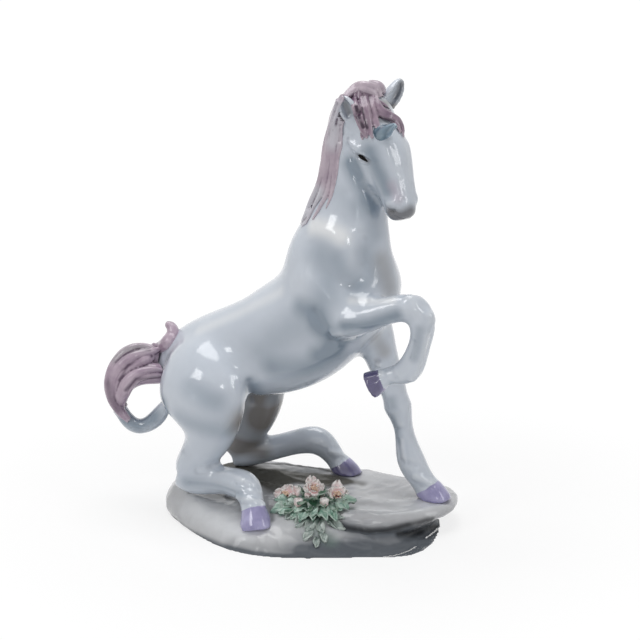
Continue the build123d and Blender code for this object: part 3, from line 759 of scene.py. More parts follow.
def make_skin():
    """Fuses and smooths the castings of the animal, then models and paints the details on them."""
    rough = Clay(voxelled("skin_rough", joined_copy(SKIN_NODES, SKIN_SWELL), ROUGH_VOXEL))
    rough.points = rough.points - rough.normals * SKIN_SWELL
    rough.settle()
    relax_seams(rough)
    whole = bmesh.new()
    whole.from_mesh(rough.mesh)
    for ear in EARS:
        add_ear(whole, *ear)
    mesh = voxelled("unicorn_skin", whole, SKIN_VOXEL)
    refine(mesh, POLL_POINT, MUZZLE_POINT, HEAD_REACH)
    clay = Clay(mesh)
    clay.smooth(6, 1.0, 1.0)
    clay.plant()
    for pixels, radius, rounds in SOFT_SPOTS:
        clay.smooth(rounds, clay.falloff(pixels, radius * MM))
    clay.plant()
    for pixels, radius, rise in BODY_FORMS:
        clay.stroke(pixels, radius * MM, rise * MM)
    for pixels, radius, rise in HEAD_FORMS:
        clay.stroke(pixels, radius * MM, rise * MM, True)
    clay.smooth(2, 1.0, 1.0)
    clay.plant()

    label = node_labels(clay.points)
    hoof = np.isin(label, [SKIN_NODES.index(node) for node in HOOF_NODES]).astype(float)
    far_leg = np.isin(label, [SKIN_NODES.index(node) for node in FAR_LEG_NODES]).astype(float)
    # The hollow and proud layers give painted shade in the hollows and a painted highlight on proud places.
    clay.find_hollows(SKIN_DIP, 3)
    clay.layers["hoof"] = clay.soften(hoof, 5)
    # Painted shade, warm brown-grey, on the inner side of the far thigh.
    clay.layers["warm_airbrush_and_shade"] = 0.5 * clay.soften(far_leg, 12) * np.clip(-2 * clay.normals[:, 1], 0, 1)
    # Painted shade, cool blue-grey, on every face that looks downwards.
    clay.layers["cool_airbrush_and_shade"] = 0.45 * np.clip(-clay.normals[:, 2] - 0.1, 0, 1)
    for layer, pixels, radius, strength, mirrored in PAINT:
        clay.paint(layer, pixels, radius * MM, strength, mirrored)
    clay.store()
    show("unicorn_skin", mesh, body_glaze(), "body_glaze", *SKIN_NODES, *EAR_NODES)
    return clay


# Hair, locks of fine strands laid on the castings of the mane and tail

HAIR_VOXEL = 0.5 * MM
HAIR_DIP = 0.07 * MM
CORE_SINK = 0.8 * MM
STRAND_SIDES = 10
STRAND_STEPS = 6
CREST_TOP = 6.0 * MM
CREST_FOOT = 2.4 * MM
CREST_STRAND = 1.25 * MM
CREST_RISE = 0.9 * MM
CREST_FALL = 2.6 * MM

# Locks of hair: pixels, half width in millimetres and number of strands
MANE_NODES = ["poll_tuft", "upper_mane", "middle_mane", "lower_mane"]
MANE_LOCKS = [
    ([(347, 92), (339, 100), (333, 114), (328, 140), (325, 164), (320, 184), (311, 202), (303, 221)], 2.4, 3),
    ([(344, 96), (338, 106), (333, 122), (330, 148), (328, 170), (323, 190), (315, 206), (306, 225)], 2.4, 3),
    ([(379, 99), (374, 91), (364, 87.5), (355, 88.5), (347, 93), (340, 102)], 3.0, 2),
    ([(380, 95), (376, 88), (368, 83), (358, 82.5), (349, 86), (341, 95), (335, 108)], 3.8, 2),
]
SIDE_LOCKS = [
    ([(343, 101), (338, 112),
      (336, 128), (334, 150), (332, 172), (328, 192), (321, 206), (313, 220)], 2.2, 3),
    ([(341, 112), (339, 124), (338, 136), (336, 154), (335, 174), (332, 194), (326, 209)], 1.8, 3),
    ([(342, 126), (341, 138), (340, 148), (338, 158), (337, 172), (335, 186)], 1.3, 2),
]
# The ridge of the mane
CREST_PIXELS = [
    (366, 84), (354, 90), (346, 98), (340, 107), (336, 117), (333, 128), (331, 140), (327, 154),
    (324, 165), (321, 176), (318, 186), (314, 195), (310, 204), (307, 212), (303, 221),
]
CREST_STRANDS = 8
FORELOCK_NODES = ["right_forelock", "left_forelock"]
FORELOCK_LOCKS = [
    ([(352, 91), (353, 98), (355, 107), (358, 116), (361, 126), (364, 135)], 1.9, 2),
    ([(357, 88), (358, 97), (360, 108), (362, 118), (365, 129), (367, 139)], 2.2, 2),
    ([(362, 87), (363, 97), (365, 108), (367, 118), (370, 129), (373, 139)], 2.2, 2),
    ([(367, 87), (369, 97), (371, 108), (374, 118), (378, 128), (383, 137)], 2.2, 2),
    ([(371, 89), (373, 98), (376, 108), (382, 115.5), (390, 119), (396.5, 124), (400, 134)], 2.0, 2),
    ([(374, 92), (376, 101), (381, 110), (390, 115.5), (398, 120.5), (402, 129), (402.5, 138)], 1.8, 2),
]
# Painted shade in the forelock's grooves and a painted shadow just above the horn: pixels, radius in
# millimetres, strength.
FORELOCK_GROOVE_SHADE = [
    ([(356, 106), (359, 116), (363, 127)], 1.6, 1.2),
    ([(362, 108), (364, 118), (367, 128)], 1.1, 0.9),
    ([(380, 117), (394, 121)], 1.6, 0.8),
]
TAIL_NODES = ["outer_tail_lock", "inner_tail_lock", "curl_tail_lock"]
TAIL_LOCKS = [
    ([(129, 421), (121, 413), (113, 400),
      (109.5, 383), (114.5, 365), (125, 352.5), (138, 346.5), (158, 351)], 2.0, 1),
    ([(129, 420), (120, 410), (114.5, 395),
      (115.5, 377), (124, 363), (137, 355), (150, 352), (161, 348)], 2.3, 1),
    ([(128, 419), (119, 408), (117.5, 392),
      (121.5, 376), (134, 365.5), (148, 358), (160, 350.5), (169, 343.5)], 2.4, 1),
    ([(150, 356), (160, 350), (168, 343.5), (173.5, 336), (172, 328), (167, 323.5)], 3.0, 1),
    ([(128, 419), (120, 407), (122, 394), (127, 382.5), (137, 374), (150, 370), (163, 370)], 2.2, 1),
    ([(128, 419), (121, 407), (126, 393), (135, 380.5), (148, 375.5), (161, 375)], 1.6, 1),
]


def flow(places, steps):
    """A smooth run through places, with steps between each pair."""
    held = [places[0] * 2 - places[1], *places, places[-1] * 2 - places[-2]]
    run = []
    for before, start, end, after in zip(held, held[1:], held[2:], held[3:]):
        for step in range(steps):
            share = step / steps
            bend = (2 * before - 5 * start + 4 * end - after) * share ** 2
            twist = (3 * start - before - 3 * end + after) * share ** 3
            run.append((2 * start + (end - before) * share + bend + twist) / 2)
    run.append(places[-1].copy())
    return run


def tube(whole, rings):
    """Adds a closed tube through rings of places to a bmesh."""
    loops = [[whole.verts.new(place) for place in ring] for ring in rings]
    for loop, ahead in zip(loops, loops[1:]):
        for index in range(len(loop)):
            follow = (index + 1) % len(loop)
            whole.faces.new([loop[index], loop[follow], ahead[follow], ahead[index]])
    whole.faces.new(loops[0][::-1])
    whole.faces.new(loops[-1])


def strand(whole, places, outward, half_width, flat=0.8, root=0.6, tip=0.15):
    """Adds one strand to a bmesh, a flattened tube that swells from its root and comes to a tip."""
    path = flow(places, STRAND_STEPS)
    facing = flow(outward, STRAND_STEPS)
    last = len(path) - 1
    rings = []
    for index, place in enumerate(path):
        share = index / last
        swell = root + (1 - root) * min(share / 0.3, 1)
        taper = tip + (1 - tip) * min((1 - share) / 0.45, 1) ** 0.7
        half = half_width * min(swell, taper)
        ahead = path[min(index + 1, last)] - path[max(index - 1, 0)]
        side = ahead.cross(facing[index]).normalized()
        lift = side.cross(ahead).normalized()
        turns = [2 * math.pi * turn / STRAND_SIDES for turn in range(STRAND_SIDES)]
        rings.append([
            place + side * (math.cos(turn) * half) + lift * (math.sin(turn) * half * flat) for turn in turns
        ])
    tube(whole, rings)


def lock(whole, places, outward, half_width, strands, root):
    """Adds a lock of strands that lie side by side and meet at its tip."""
    last = len(places) - 1
    for number in range(strands):
        lane = (2 * number - strands + 1) / strands
        moved = []
        for index, place in enumerate(places):
            ahead = places[min(index + 1, last)] - places[max(index - 1, 0)]
            side = ahead.cross(outward[index]).normalized()
            share = index / last
            drop = outward[index] * (lane * lane * half_width * 0.35)
            moved.append(place + side * (lane * half_width * (1 - 0.85 * share * share)) - drop)
        strand(whole, moved, outward, half_width / strands * 1.45, 0.8, root, 0.3)


def lay_locks(whole, locks, trees, sides, lift, root):
    """Lays locks along pixels on what carries them, seen from the front and from behind."""
    for pixels, half_width, strands in locks:
        for far in sides:
            hits = [hit for hit in (cast(px, py, *trees, far=far) for px, py in pixels) if hit]
            if len(hits) > 2:
                places = [point + normal * (half_width * lift * MM) for point, normal in hits]
                facing = (LOOK if far else -LOOK)
                outward = [(normal + facing * 0.5).normalized() for _, normal in hits]
                lock(whole, places, outward, half_width * MM, strands, root)


def lay_crest(whole, core):
    """Lays strands side by side over the ridge of the mane's cores."""
    pairs = [(cast(px, py, core), cast(px, py, core, far=True)) for px, py in CREST_PIXELS]
    ridge = [(near[0] + behind[0]) / 2 for near, behind in pairs if near and behind]
    across = ray(*CREST_PIXELS[0])
    last = len(ridge) - 1
    outward = []
    for index in range(last + 1):
        ahead = ridge[min(index + 1, last)] - ridge[max(index - 1, 0)]
        away = UP * 0.6 - RIGHT
        outward.append((away - ahead * (away.dot(ahead) / ahead.length_squared)).normalized())
    for number in range(CREST_STRANDS):
        lane = (2 * number - CREST_STRANDS + 1) / CREST_STRANDS
        places = []
        for index, (place, away) in enumerate(zip(ridge, outward)):
            half = CREST_TOP + (CREST_FOOT - CREST_TOP) * index / last
            places.append(place + across * (half * lane) + away * (CREST_RISE - CREST_FALL * lane ** 2))
        strand(whole, places, outward, CREST_STRAND, 0.7, 0.8, 0.35)


def hair_piece(name, whole, material, nodes, pale=(), deep=()):
    """Melts strands into one glazed piece, finds its grooves for painted shade and its ridges for a painted
    highlight, and paints its pale places and more painted shade.
    """
    clay = Clay(voxelled(name, whole, HAIR_VOXEL))
    clay.smooth(3, 1.0, 0.9)
    clay.find_hollows(HAIR_DIP, 1)
    clay.plant()
    # Pale strokes, then strokes of painted shade into the grooves.
    for layer, strokes in (("pale", pale), ("hollow", deep)):
        for pixels, radius, strength in strokes:
            clay.paint(layer, pixels, radius * MM, strength)
    clay.store()
    show(name, clay.mesh, material, "mane_glaze", *nodes)


def core_tree(nodes):
    """A tree of the castings, slightly sunk, that strands are laid on."""
    core = joined_copy(nodes, -CORE_SINK)
    tree = BVHTree.FromBMesh(core)
    return core, tree


PALE_MANE = [
    ([(338, 108), (335, 124), (332, 142)], 8.0, 0.9),
    ([(318, 194), (310, 208), (303, 222)], 8.0, 1.1),
]
# Painted sheen, grey, along the top of the tail.
TAIL_SHEEN = [([(114, 358), (126, 349), (146, 348)], 5.0, 0.9)]
# Painted shade in the grooves between the tail's bands, and darker along its lower part near the dock.
TAIL_SHADE_STROKES = [
    ([(118, 410), (110, 396), (108, 384)], 5.0, 0.45),
    ([(126, 390), (136, 379), (162, 376)], 2.2, 0.6),
    ([(119, 380), (128, 366), (152, 356)], 1.4, 0.6),
    ([(116, 362), (128, 353), (150, 350)], 1.4, 0.5),
]


def make_hair(skin):
    """Lays the mane, the forelock and the tail."""
    grey = srgb(206, 206, 214)
    mauve = hair_glaze("mane_glaze", srgb(194, 179, 190), srgb(168, 152, 166), srgb(96, 78, 98), grey)
    wine = hair_glaze("forelock_glaze", srgb(156, 134, 150), srgb(120, 96, 118), srgb(52, 32, 54), grey)
    # Grey of the painted sheen on top of the tail.
    tail_sheen_grey = srgb(160, 155, 160)
    plum = hair_glaze("tail_glaze", srgb(192, 173, 188), srgb(162, 141, 160), srgb(80, 60, 82), tail_sheen_grey)
    whole, tree = core_tree(MANE_NODES)
    lay_locks(whole, MANE_LOCKS, [tree, skin.tree], (False, True), 0.3, 0.5)
    lay_locks(whole, SIDE_LOCKS, [tree, skin.tree], (False, True), 0.3, 0.15)
    lay_crest(whole, tree)
    hair_piece("mane_hair", whole, mauve, MANE_NODES, PALE_MANE)
    whole, under = core_tree(FORELOCK_NODES)
    lay_locks(whole, FORELOCK_LOCKS, [tree, under, skin.tree], (False,), 0.4, 0.4)
    hair_piece("forelock_hair", whole, wine, FORELOCK_NODES, (), FORELOCK_GROOVE_SHADE)
    whole, tree = core_tree(TAIL_NODES)
    lay_locks(whole, TAIL_LOCKS, [tree, skin.tree], (False, True), 0.3, 0.5)
    hair_piece("tail_hair", whole, plum, TAIL_NODES, TAIL_SHEEN, TAIL_SHADE_STROKES)


# Eyes, narrow and half shut

EYE_LINE = [(358.2, 155.2), (361, 156.6), (364.4, 159), (367.6, 161.6)]
EYE_HALF = 1.1 * MM
EYE_LIFT = 0.1 * MM


def eye_glaze():
    """Almost black, with a brown cloud."""
    shader = Shader("eye_glaze")
    colour = shader.cloudy(srgb(16, 13, 13), srgb(6, 5, 6), 600)
    shader.surface.inputs["Specular IOR Level"].default_value = 0.05
    return shader.finish(colour, (0.2, 0.3), 0.02, RIPPLE, 500)


def make_eyes(skin):
    """A dark slit on each side of the head, laid on the skin."""
    hits = [cast(px, py, skin.tree) for px, py in EYE_LINE]
    twins = [POLL_POINT + HEAD_MIRROR @ (point - POLL_POINT) for point, _ in hits]
    far_hits = [skin.tree.find_nearest(twin)[:2] for twin in twins]
    whole = bmesh.new()
    for side in (hits, far_hits):
        places = [point + normal * EYE_LIFT for point, normal in side]
        strand(whole, places, [normal for _, normal in side], EYE_HALF, 0.3, 0.3, 0.2)
    show("eye_slits", meshed("eye_slits", whole), eye_glaze(), "body_glaze")


# Horn, short and twisted

HORN_ROOT = Vector((31.6, -24, 220)) * MM
HORN_TIP = Vector((43.4, -43.4, 231.8)) * MM
HORN_RADIUS = 5.9 * MM
HORN_TIP_RADIUS = 1.2 * MM
HORN_GROOVE = 0.55 * MM
HORN_TWISTS = 2.2
HORN_RIDGES = 3


def close_tube(whole, rings):
    """Joins rings of vertices into a closed tube."""
    for ring, ahead in zip(rings, rings[1:]):
        for column in range(len(ring)):
            follow = (column + 1) % len(ring)
            whole.faces.new([ring[column], ring[follow], ahead[follow], ahead[column]])
    whole.faces.new(rings[0][::-1])
    whole.faces.new(rings[-1])


def make_horn():
    """A tapered horn with shallow twisted grooves and a rounded tip."""
    along = HORN_TIP - HORN_ROOT
    side = along.orthogonal().normalized()
    over = along.normalized().cross(side)
    whole = bmesh.new()
    tint = whole.verts.layers.float.new("along")
    groove = whole.verts.layers.float.new("groove")
    rows, columns = 70, 48
    rings = []
    for row in range(rows):
        share = row / (rows - 1)
        end = math.sqrt(max(1 - (max(share - 0.93, 0) / 0.07) ** 2, 0))
        radius = (HORN_RADIUS + (HORN_TIP_RADIUS - HORN_RADIUS) * share ** 1.35) * max(end, 0.02)
        ring = []
        for column in range(columns):
            turn = 2 * math.pi * column / columns
            wave = 0.5 + 0.5 * math.cos(HORN_RIDGES * turn + 2 * math.pi * HORN_TWISTS * share)
            dip = (1 - wave ** 0.6)
            reach = radius - HORN_GROOVE * dip * end
            spoke = side * math.cos(turn) + over * math.sin(turn)
            vert = whole.verts.new(HORN_ROOT + along * share + spoke * reach)
            vert[tint] = share
            vert[groove] = dip
            ring.append(vert)
        rings.append(ring)
    close_tube(whole, rings)
    show("twisted_horn", meshed("twisted_horn", whole), horn_glaze(), "horn_glaze", "horn")


# Rock

ROCK_VOXEL = 1.0 * MM
ROCK_LUMP = 1.0 * MM
ROCK_LUMP_SIZE = 26 * MM
ROCK_CHIP = 0.8 * MM
ROCK_CHIP_SIZE = 8 * MM
ROCK_HOLD = 6 * MM
ROCK_DIP = 0.09 * MM
FOOT_EDGE = 1.5 * MM
FOOT_SHADE = 3 * MM
ROCK_FORMS = [
    ([(332, 522), (348, 528), (368, 531), (388, 530), (408, 525)], 3.6, -2.4),
    ([(408, 525), (426, 521)], 3.0, -1.0),
    ([(398, 534), (420, 532)], 3.0, -0.8),
    ([(345, 513), (380, 515), (415, 513), (444, 507)], 4.2, 1.0),
    ([(350, 540), (372, 546)], 4.0, 0.7),
    ([(400, 543), (424, 541)], 4.0, 0.8),
    ([(195, 500), (210, 516)], 7.0, 0.7),
    ([(360, 500), (400, 503), (430, 500)], 8.0, 0.6),
]
# Colour painted on the rock: layer, pixels, radius in millimetres, strength. Dark paint with painted shadow
# behind the folded leg, painted shadow in the crevices, along the back edge and beside the legs, painted
# shade under the ledge and along the foot, painted highlights on the edges and tops, and mint, the colour of
# the leaves in relief.
ROCK_PAINT = [
    ("dark_paint_and_shadow", [(228, 464), (262, 472), (300, 478), (330, 482)], 14.0, 1.4),
    ("dark_paint_and_shadow", [(258, 478), (276, 490), (284, 480)], 9.0, 1.1),
    ("dark_paint_and_shadow", [(270, 483), (285, 474), (320, 476), (345, 482)], 7.0, 1.0),
    ("dark_paint_and_shadow", [(330, 476), (350, 481), (362, 484)], 5.0, 0.6),
    ("crevice_and_contact_shadow", [(258, 463), (290, 465), (326, 470), (352, 476)], 2.6, 1.0),
    ("crevice_and_contact_shadow", [(332, 522), (348, 528), (368, 531), (388, 530), (408, 525), (432, 519)], 3.0, 0.8),
    ("crevice_and_contact_shadow", [(398, 534), (420, 532), (436, 526)], 3.2, 0.9),
    ("painted_shade", [(441, 518), (436, 530)], 4.0, 0.8),
    ("crevice_and_contact_shadow", [(190, 492), (215, 493), (236, 500)], 2.6, 0.7),
    ("crevice_and_contact_shadow", [(271, 506), (272, 520)], 3.0, 0.6),
    ("painted_shade", [(336, 526), (372, 534), (410, 530), (436, 524)], 7.0, 1.0),
    ("painted_shade", [(304, 552), (340, 551), (392, 552), (424, 547)], 8.0, 0.9),
    ("painted_shade", [(324, 545), (360, 541), (395, 543), (424, 540)], 10.0, 0.8),
    ("painted_shade", [(232, 547), (262, 552), (300, 551)], 9.0, 0.45),
    ("painted_shade", [(290, 544), (314, 541)], 12.0, 0.4),
    ("light", [(350, 508), (385, 510), (425, 508)], 8.0, 0.9),
    ("light", [(186, 505), (205, 516), (228, 528), (246, 534)], 10.0, 1.0),
    ("light", [(362, 498), (405, 502), (436, 504)], 9.0, 0.6),
    ("light", [(402, 543), (424, 541)], 3.0, 0.5),
    ("mint", [(296, 515), (315, 530), (330, 540)], 8.0, 0.7),
]


def make_rock(skin):
    """Lumps and chips the rock away from what stands on it, keeping its foot flat."""
    clay = Clay(voxelled("rock_skin", joined_copy(["rock_base"], 0), ROCK_VOXEL))
    clay.smooth(3, 1.0, 1.0)
    clay.plant()
    feet = skin.points[skin.points[:, 2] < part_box("rock_base")[1][2] + ROCK_HOLD]
    hold = closeness(clay.points, feet[::7], ROCK_HOLD)
    free = (1 - 0.85 * hold) * np.clip(clay.points[:, 2] / FOOT_EDGE, 0, 1)
    lump = np.array([noise.fractal(Vector(point) / ROCK_LUMP_SIZE, 0.9, 2.0, 2) for point in clay.points])
    chip = np.array([abs(noise.noise(Vector(point) / ROCK_CHIP_SIZE)) for point in clay.points])
    rise = (lump * ROCK_LUMP - chip * ROCK_CHIP) * free
    clay.points = clay.points + clay.normals * rise[:, None]
    clay.settle()
    for pixels, radius, height in ROCK_FORMS:
        clay.stroke(pixels, radius * MM, height * MM)
    clay.smooth(5, np.clip(clay.points[:, 2] / FOOT_EDGE, 0, 1), 0.9)
    clay.points[:, 2] = np.maximum(clay.points[:, 2], 0)
    clay.settle()
    clay.plant()
    clay.find_hollows(ROCK_DIP, 2)
    # Painted shade, darker towards the foot.
    clay.layers["painted_shade"] = eased(1 - clay.points[:, 2] / FOOT_SHADE)
    for layer, pixels, radius, strength in ROCK_PAINT:
        clay.paint(layer, pixels, radius * MM, strength)
    clay.store()
    show("rock_skin", clay.mesh, rock_glaze(), "rock_glaze", "rock_base")
    return clay


# Flowers, thin hand-rolled petals and leaves

PETAL_THICKNESS = 0.7 * MM
LEAF_THICKNESS = 0.7 * MM
PETAL_SINK = 1.6 * MM
PETAL_INSET = 0.5 * MM
STAMEN_RADIUS = 0.55 * MM
STAMEN_SINK = 1.5 * MM
STAMEN_LENGTH = 4.2 * MM
SPRIG_BACK = 8.0 * MM
SPRIG_WIDTH = 6.0 * MM
CLUMP_SINK = 0.6 * MM
CLUMP_DEPTH = 2.5 * MM
CLUMP_FALL = 5.0 * MM
CLUMP_LEAF = 7.5 * MM
CLUMP_LEAF_RANGE = 1.5 * MM
CLUMP_WIDTH = 4.6 * MM
RELIEF_LIFT = 0.5 * MM
BUD_INSET = 1.1 * MM
BUD_SINK = 2.4 * MM
BUD_LENGTH = 5.6 * MM
BUD_WIDTH = 3.6 * MM
# Each ring of petals: how many, length and width in millimetres, tilt in degrees
PETAL_RINGS = [(5, 6.8, 6.6, 4), (5, 5.4, 5.2, 26), (3, 3.6, 3.6, 52)]
PETAL_RUFFLE = 0.20
PETAL_CUP = 0.10
BLOSSOM_DROP = Vector((0, -1.2, -1.2)) * MM
BLOSSOM_FACING = {
    "left": Vector((-0.22, -0.78, 0.58)),
    "middle": Vector((0.15, -0.58, 0.80)),
    "right": Vector((0.22, -0.78, 0.58)),
}
LEAF_NAMES = ["far_left", "left", "middle_left", "middle_right", "right", "far_right"]
LEAF_UP = Vector((0, -0.45, 0.893))


def middle_of(node):
    """The middle of a node's box."""
    low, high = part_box(node)
    return (Vector(low) + Vector(high)) / 2


def painted_bmesh(*names):
    """A bmesh whose points carry named values."""
    whole = bmesh.new()
    for name in names:
        whole.verts.layers.float.new(name)
    return whole


def petal(whole, root, out, up, length, width, cup, phase):
    """Adds one ruffled, round-ended petal that runs out from its root and cups upwards."""
    across = up.cross(out).normalized()
    rows, tint = [], []
    for row in range(10):
        share = row / 9
        widen = 0.3 + 0.7 * eased(share / 0.6)
        rounding = math.sqrt(1 - 0.85 * (max(share - 0.5, 0) / 0.5) ** 2)
        half = width / 2 * widen * rounding
        line = []
        for column in range(9):
            lane = column / 4 - 1
            lift = cup * share * share + 0.18 * half / length * lane * lane
            lift += PETAL_RUFFLE * math.sin(6 * lane + phase) * share ** 3
            reach = length * share * (1 - 0.14 * lane * lane)
            line.append(root + out * reach + across * (half * lane) + up * (length * lift))
        rows.append(line)
        tint.append([share] * 9)
    shell(whole, rows, PETAL_THICKNESS, (("along", tint),))


def leaflet(whole, root, out, up, length, width, droop, phase):
    """Adds one folded, toothed leaf."""
    across = up.cross(out).normalized()
    rows, tint, ribs = [], [], []
    for row in range(15):
        share = row / 14
        tooth = 1 + 0.10 * math.sin(share * 40 + phase)
        half = width / 2 * max(math.sin(math.pi * min(0.06 + 0.94 * share, 1)), 0.04) ** 0.6 * tooth
        line = []
        for column in range(9):
            lane = column / 4 - 1
            wave = 0.08 * math.sin(9 * share + 3 * lane + phase)
            lift = -droop * share * share + 0.28 * abs(lane) * half / length + wave
            line.append(root + out * (length * share) + across * (half * lane) + up * (length * lift))
        rows.append(line)
        tint.append([share] * 9)
        ribs.append([abs(column / 4 - 1) for column in range(9)])
    shell(whole, rows, LEAF_THICKNESS, (("along", tint), ("rib", ribs)))


def make_blossom(name, petal_material, centre_material):
    """Rings of ruffled petals round a tuft of stamens."""
    heart = middle_of(f"{name}_flower_centre") + BLOSSOM_DROP
    facing = BLOSSOM_FACING[name].normalized()
    side = facing.orthogonal().normalized()
    over = facing.cross(side)
    whole = painted_bmesh("along")
    for ring, (count, length, width, tilt) in enumerate(PETAL_RINGS):
        lean = math.radians(tilt)
        for number in range(count):
            turn = 2 * math.pi * (number + 0.5 * ring) / count + len(name)
            flat = side * math.cos(turn) + over * math.sin(turn)
            out = flat * math.cos(lean) + facing * math.sin(lean)
            up = facing * math.cos(lean) - flat * math.sin(lean)
            stretch = 1 + 0.22 * math.sin(2.4 * number + ring + len(name))
            base = heart - facing * PETAL_SINK + flat * PETAL_INSET
            petal(whole, base, out, up, length * stretch * MM, width * MM, PETAL_CUP, number + 2 * ring)
    mesh = meshed(f"{name}_blossom", whole)
    show(f"{name}_blossom", mesh, petal_material, "petal_glaze", f"{name}_flower_petals")

    whole = painted_bmesh("along")
    tint = whole.verts.layers.float["along"]
    for number in range(12):
        lean = math.radians(6 + 34 * (number % 3) / 2)
        turn = 2.4 * number
        out = (facing * math.cos(lean) + (side * math.cos(turn) + over * math.sin(turn)) * math.sin(lean))
        ring_side = out.orthogonal().normalized()
        ring_over = out.cross(ring_side)
        loops = []
        for step in range(9):
            share = step / 8
            swell = 0.7 if share < 0.6 else 0.7 + 0.6 * math.sin(math.pi * (share - 0.6) / 0.4)
            radius = STAMEN_RADIUS * (swell if step < 8 else 0.25)
            spot = heart - facing * STAMEN_SINK + out * (STAMEN_LENGTH * share)
            loop = []
            for corner in range(8):
                angle = 2 * math.pi * corner / 8
                spoke = ring_side * math.cos(angle) + ring_over * math.sin(angle)
                vert = whole.verts.new(spot + spoke * radius)
                vert[tint] = share
                loop.append(vert)
            loops.append(loop)
        close_tube(whole, loops)
    mesh = meshed(f"{name}_stamens", whole)
    show(f"{name}_stamens", mesh, centre_material, "flower_centre_glaze", f"{name}_flower_centre")


def make_flowers(rock):
    """Blossoms, leaves, buds and the clump that carries them."""
    pink = petal_glaze()
    rose = centre_glaze()
    mint = leaf_glaze("leaf_glaze", srgb(188, 211, 197), srgb(116, 156, 138), srgb(30, 62, 48))
    # A darker copy of the leaf glaze for the clump: painted shade for the leaves deep among the flowers.
    deep = leaf_glaze("shaded_clump_glaze", srgb(128, 160, 134), srgb(56, 94, 72), srgb(14, 36, 26))
    pale = leaf_glaze("relief_glaze", srgb(184, 194, 188), srgb(140, 156, 150), srgb(96, 112, 106))
    for name in BLOSSOM_FACING:
        make_blossom(name, pink, rose)

    bed = middle_of("flower_bed")
    for index, name in enumerate(LEAF_NAMES):
        tip = middle_of(f"{name}_leaf")
        heading = (tip - bed).normalized()
        up = (LEAF_UP - heading * LEAF_UP.dot(heading)).normalized()
        across = up.cross(heading)
        whole = painted_bmesh("along", "rib")
        root = tip - heading * SPRIG_BACK
        for lane, length, lift in ((0, 11.6, 1.2), (-1, 8.0, 2.2), (1, 9.0, 1.0)):
            aside = 0.7 * lane + 0.45 * math.sin(2.6 * index + 1)
            out = (heading + across * aside + up * 0.16).normalized()
            above = (up - out * up.dot(out)).normalized()
            start = root + up * (lift * MM) + across * (lane * MM)
            leaflet(whole, start, out, above, length * MM, SPRIG_WIDTH, 0.26, index + lane)
        show(f"{name}_sprig", meshed(f"{name}_sprig", whole), mint, "leaf_glaze", f"{name}_leaf")

    clump = joined_copy(["flower_bed"], -CLUMP_SINK)
    clump.verts.layers.float.new("along")
    clump.verts.layers.float.new("rib")
    low, high = (Vector(corner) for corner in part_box("flower_bed"))
    for number in range(26):
        turn = 2.4 * number
        share = math.sqrt((number + 0.5) / 26)
        out = Vector((math.cos(turn), math.sin(turn), 0))
        spread = Vector((out.x * (high.x - low.x), out.y * (high.y - low.y), 0)) * (0.42 * share)
        fall = Vector((0, 0, CLUMP_FALL * share * share))
        root = Vector((bed.x, bed.y, high.z - CLUMP_DEPTH)) + spread - fall
        lean = math.radians(62 - 40 * share)
        heading = out * math.cos(lean) + Vector((0, 0, math.sin(lean)))
        up = Vector((0, 0, math.cos(lean))) - out * math.sin(lean)
        length = CLUMP_LEAF + CLUMP_LEAF_RANGE * math.sin(number)
        leaflet(clump, root, heading, up, length, CLUMP_WIDTH, 0.3, number)
    show("leaf_clump", meshed("leaf_clump", clump), deep, "leaf_glaze", "flower_bed")

    whole = painted_bmesh("along", "rib")
    for number, (start, end) in enumerate(RELIEF_LEAVES):
        root, normal = cast(*start, rock.tree)
        tip, _ = cast(*end, rock.tree)
        along = tip - root
        up = (normal - along * (normal.dot(along) / along.length_squared)).normalized()
        length = along.length
        leaflet(whole, root + up * RELIEF_LIFT, along.normalized(), up, length, 0.5 * length, 0.02, number)
    show("relief_leaves", meshed("relief_leaves", whole), pale, "leaf_glaze")

    for name in ("left", "right"):
        heart = middle_of(f"{name}_bud")
        whole = painted_bmesh("along")
        for number in range(5):
            turn = 2 * math.pi * number / 5
            flat = Vector((math.cos(turn), math.sin(turn), 0))
            lean = math.radians(74)
            out = flat * math.cos(lean) + Vector((0, 0, math.sin(lean)))
            up = Vector((0, 0, math.cos(lean))) - flat * math.sin(lean)
            base = heart + flat * BUD_INSET - Vector((0, 0, BUD_SINK))
            petal(whole, base, out, up, BUD_LENGTH, BUD_WIDTH, 0.22, number)
        show(f"{name}_bud_petals", meshed(f"{name}_bud_petals", whole), pink, "petal_glaze", f"{name}_bud")


# Leaves modelled flat on the rock's front, root and tip pixels
RELIEF_LEAVES = [
    ((305, 516), (296, 528)), ((312, 518), (308, 533)), ((318, 519), (322, 534)), ((322, 516), (334, 527)),
    ((298, 512), (286, 520)), ((312, 530), (304, 541)), ((320, 531), (326, 543)), ((328, 522), (345, 530)),
    ((330, 515), (344, 519)), ((316, 538), (316, 548)),
]


# Stage and light

def soft_box(name, place, size, power):
    """A rectangular studio light aimed at the figure."""
    data = bpy.data.lights.new(name, "AREA")
    data.shape = "RECTANGLE"
    data.size, data.size_y = size
    data.energy = power
    lamp = bpy.data.objects.new(name, data)
    lamp.location = place
    lamp.rotation_euler = (TARGET - Vector(place)).to_track_quat("-Z", "Y").to_euler()
    bpy.context.collection.objects.link(lamp)


FLOOR_REACH = 6.0
FLOOR_GLOW = 0.74
FLOOR_LEVEL = 1.04
SHADOW_REACH = (120 * MM, 320 * MM)
AMBIENT = 0.26
SOFT_BOXES = [
    ("key_box", (-1.0, -0.8, 0.95), (0.4, 0.6), 3.6),
    ("front_box", (0.16, -1.25, 0.56), (0.13, 0.24), 0.65),
    ("side_box", (0.9, -0.7, 0.7), (0.25, 0.6), 1.6),
    ("top_box", (-0.1, 0.1, 1.3), (0.9, 0.9), 8.6),
]


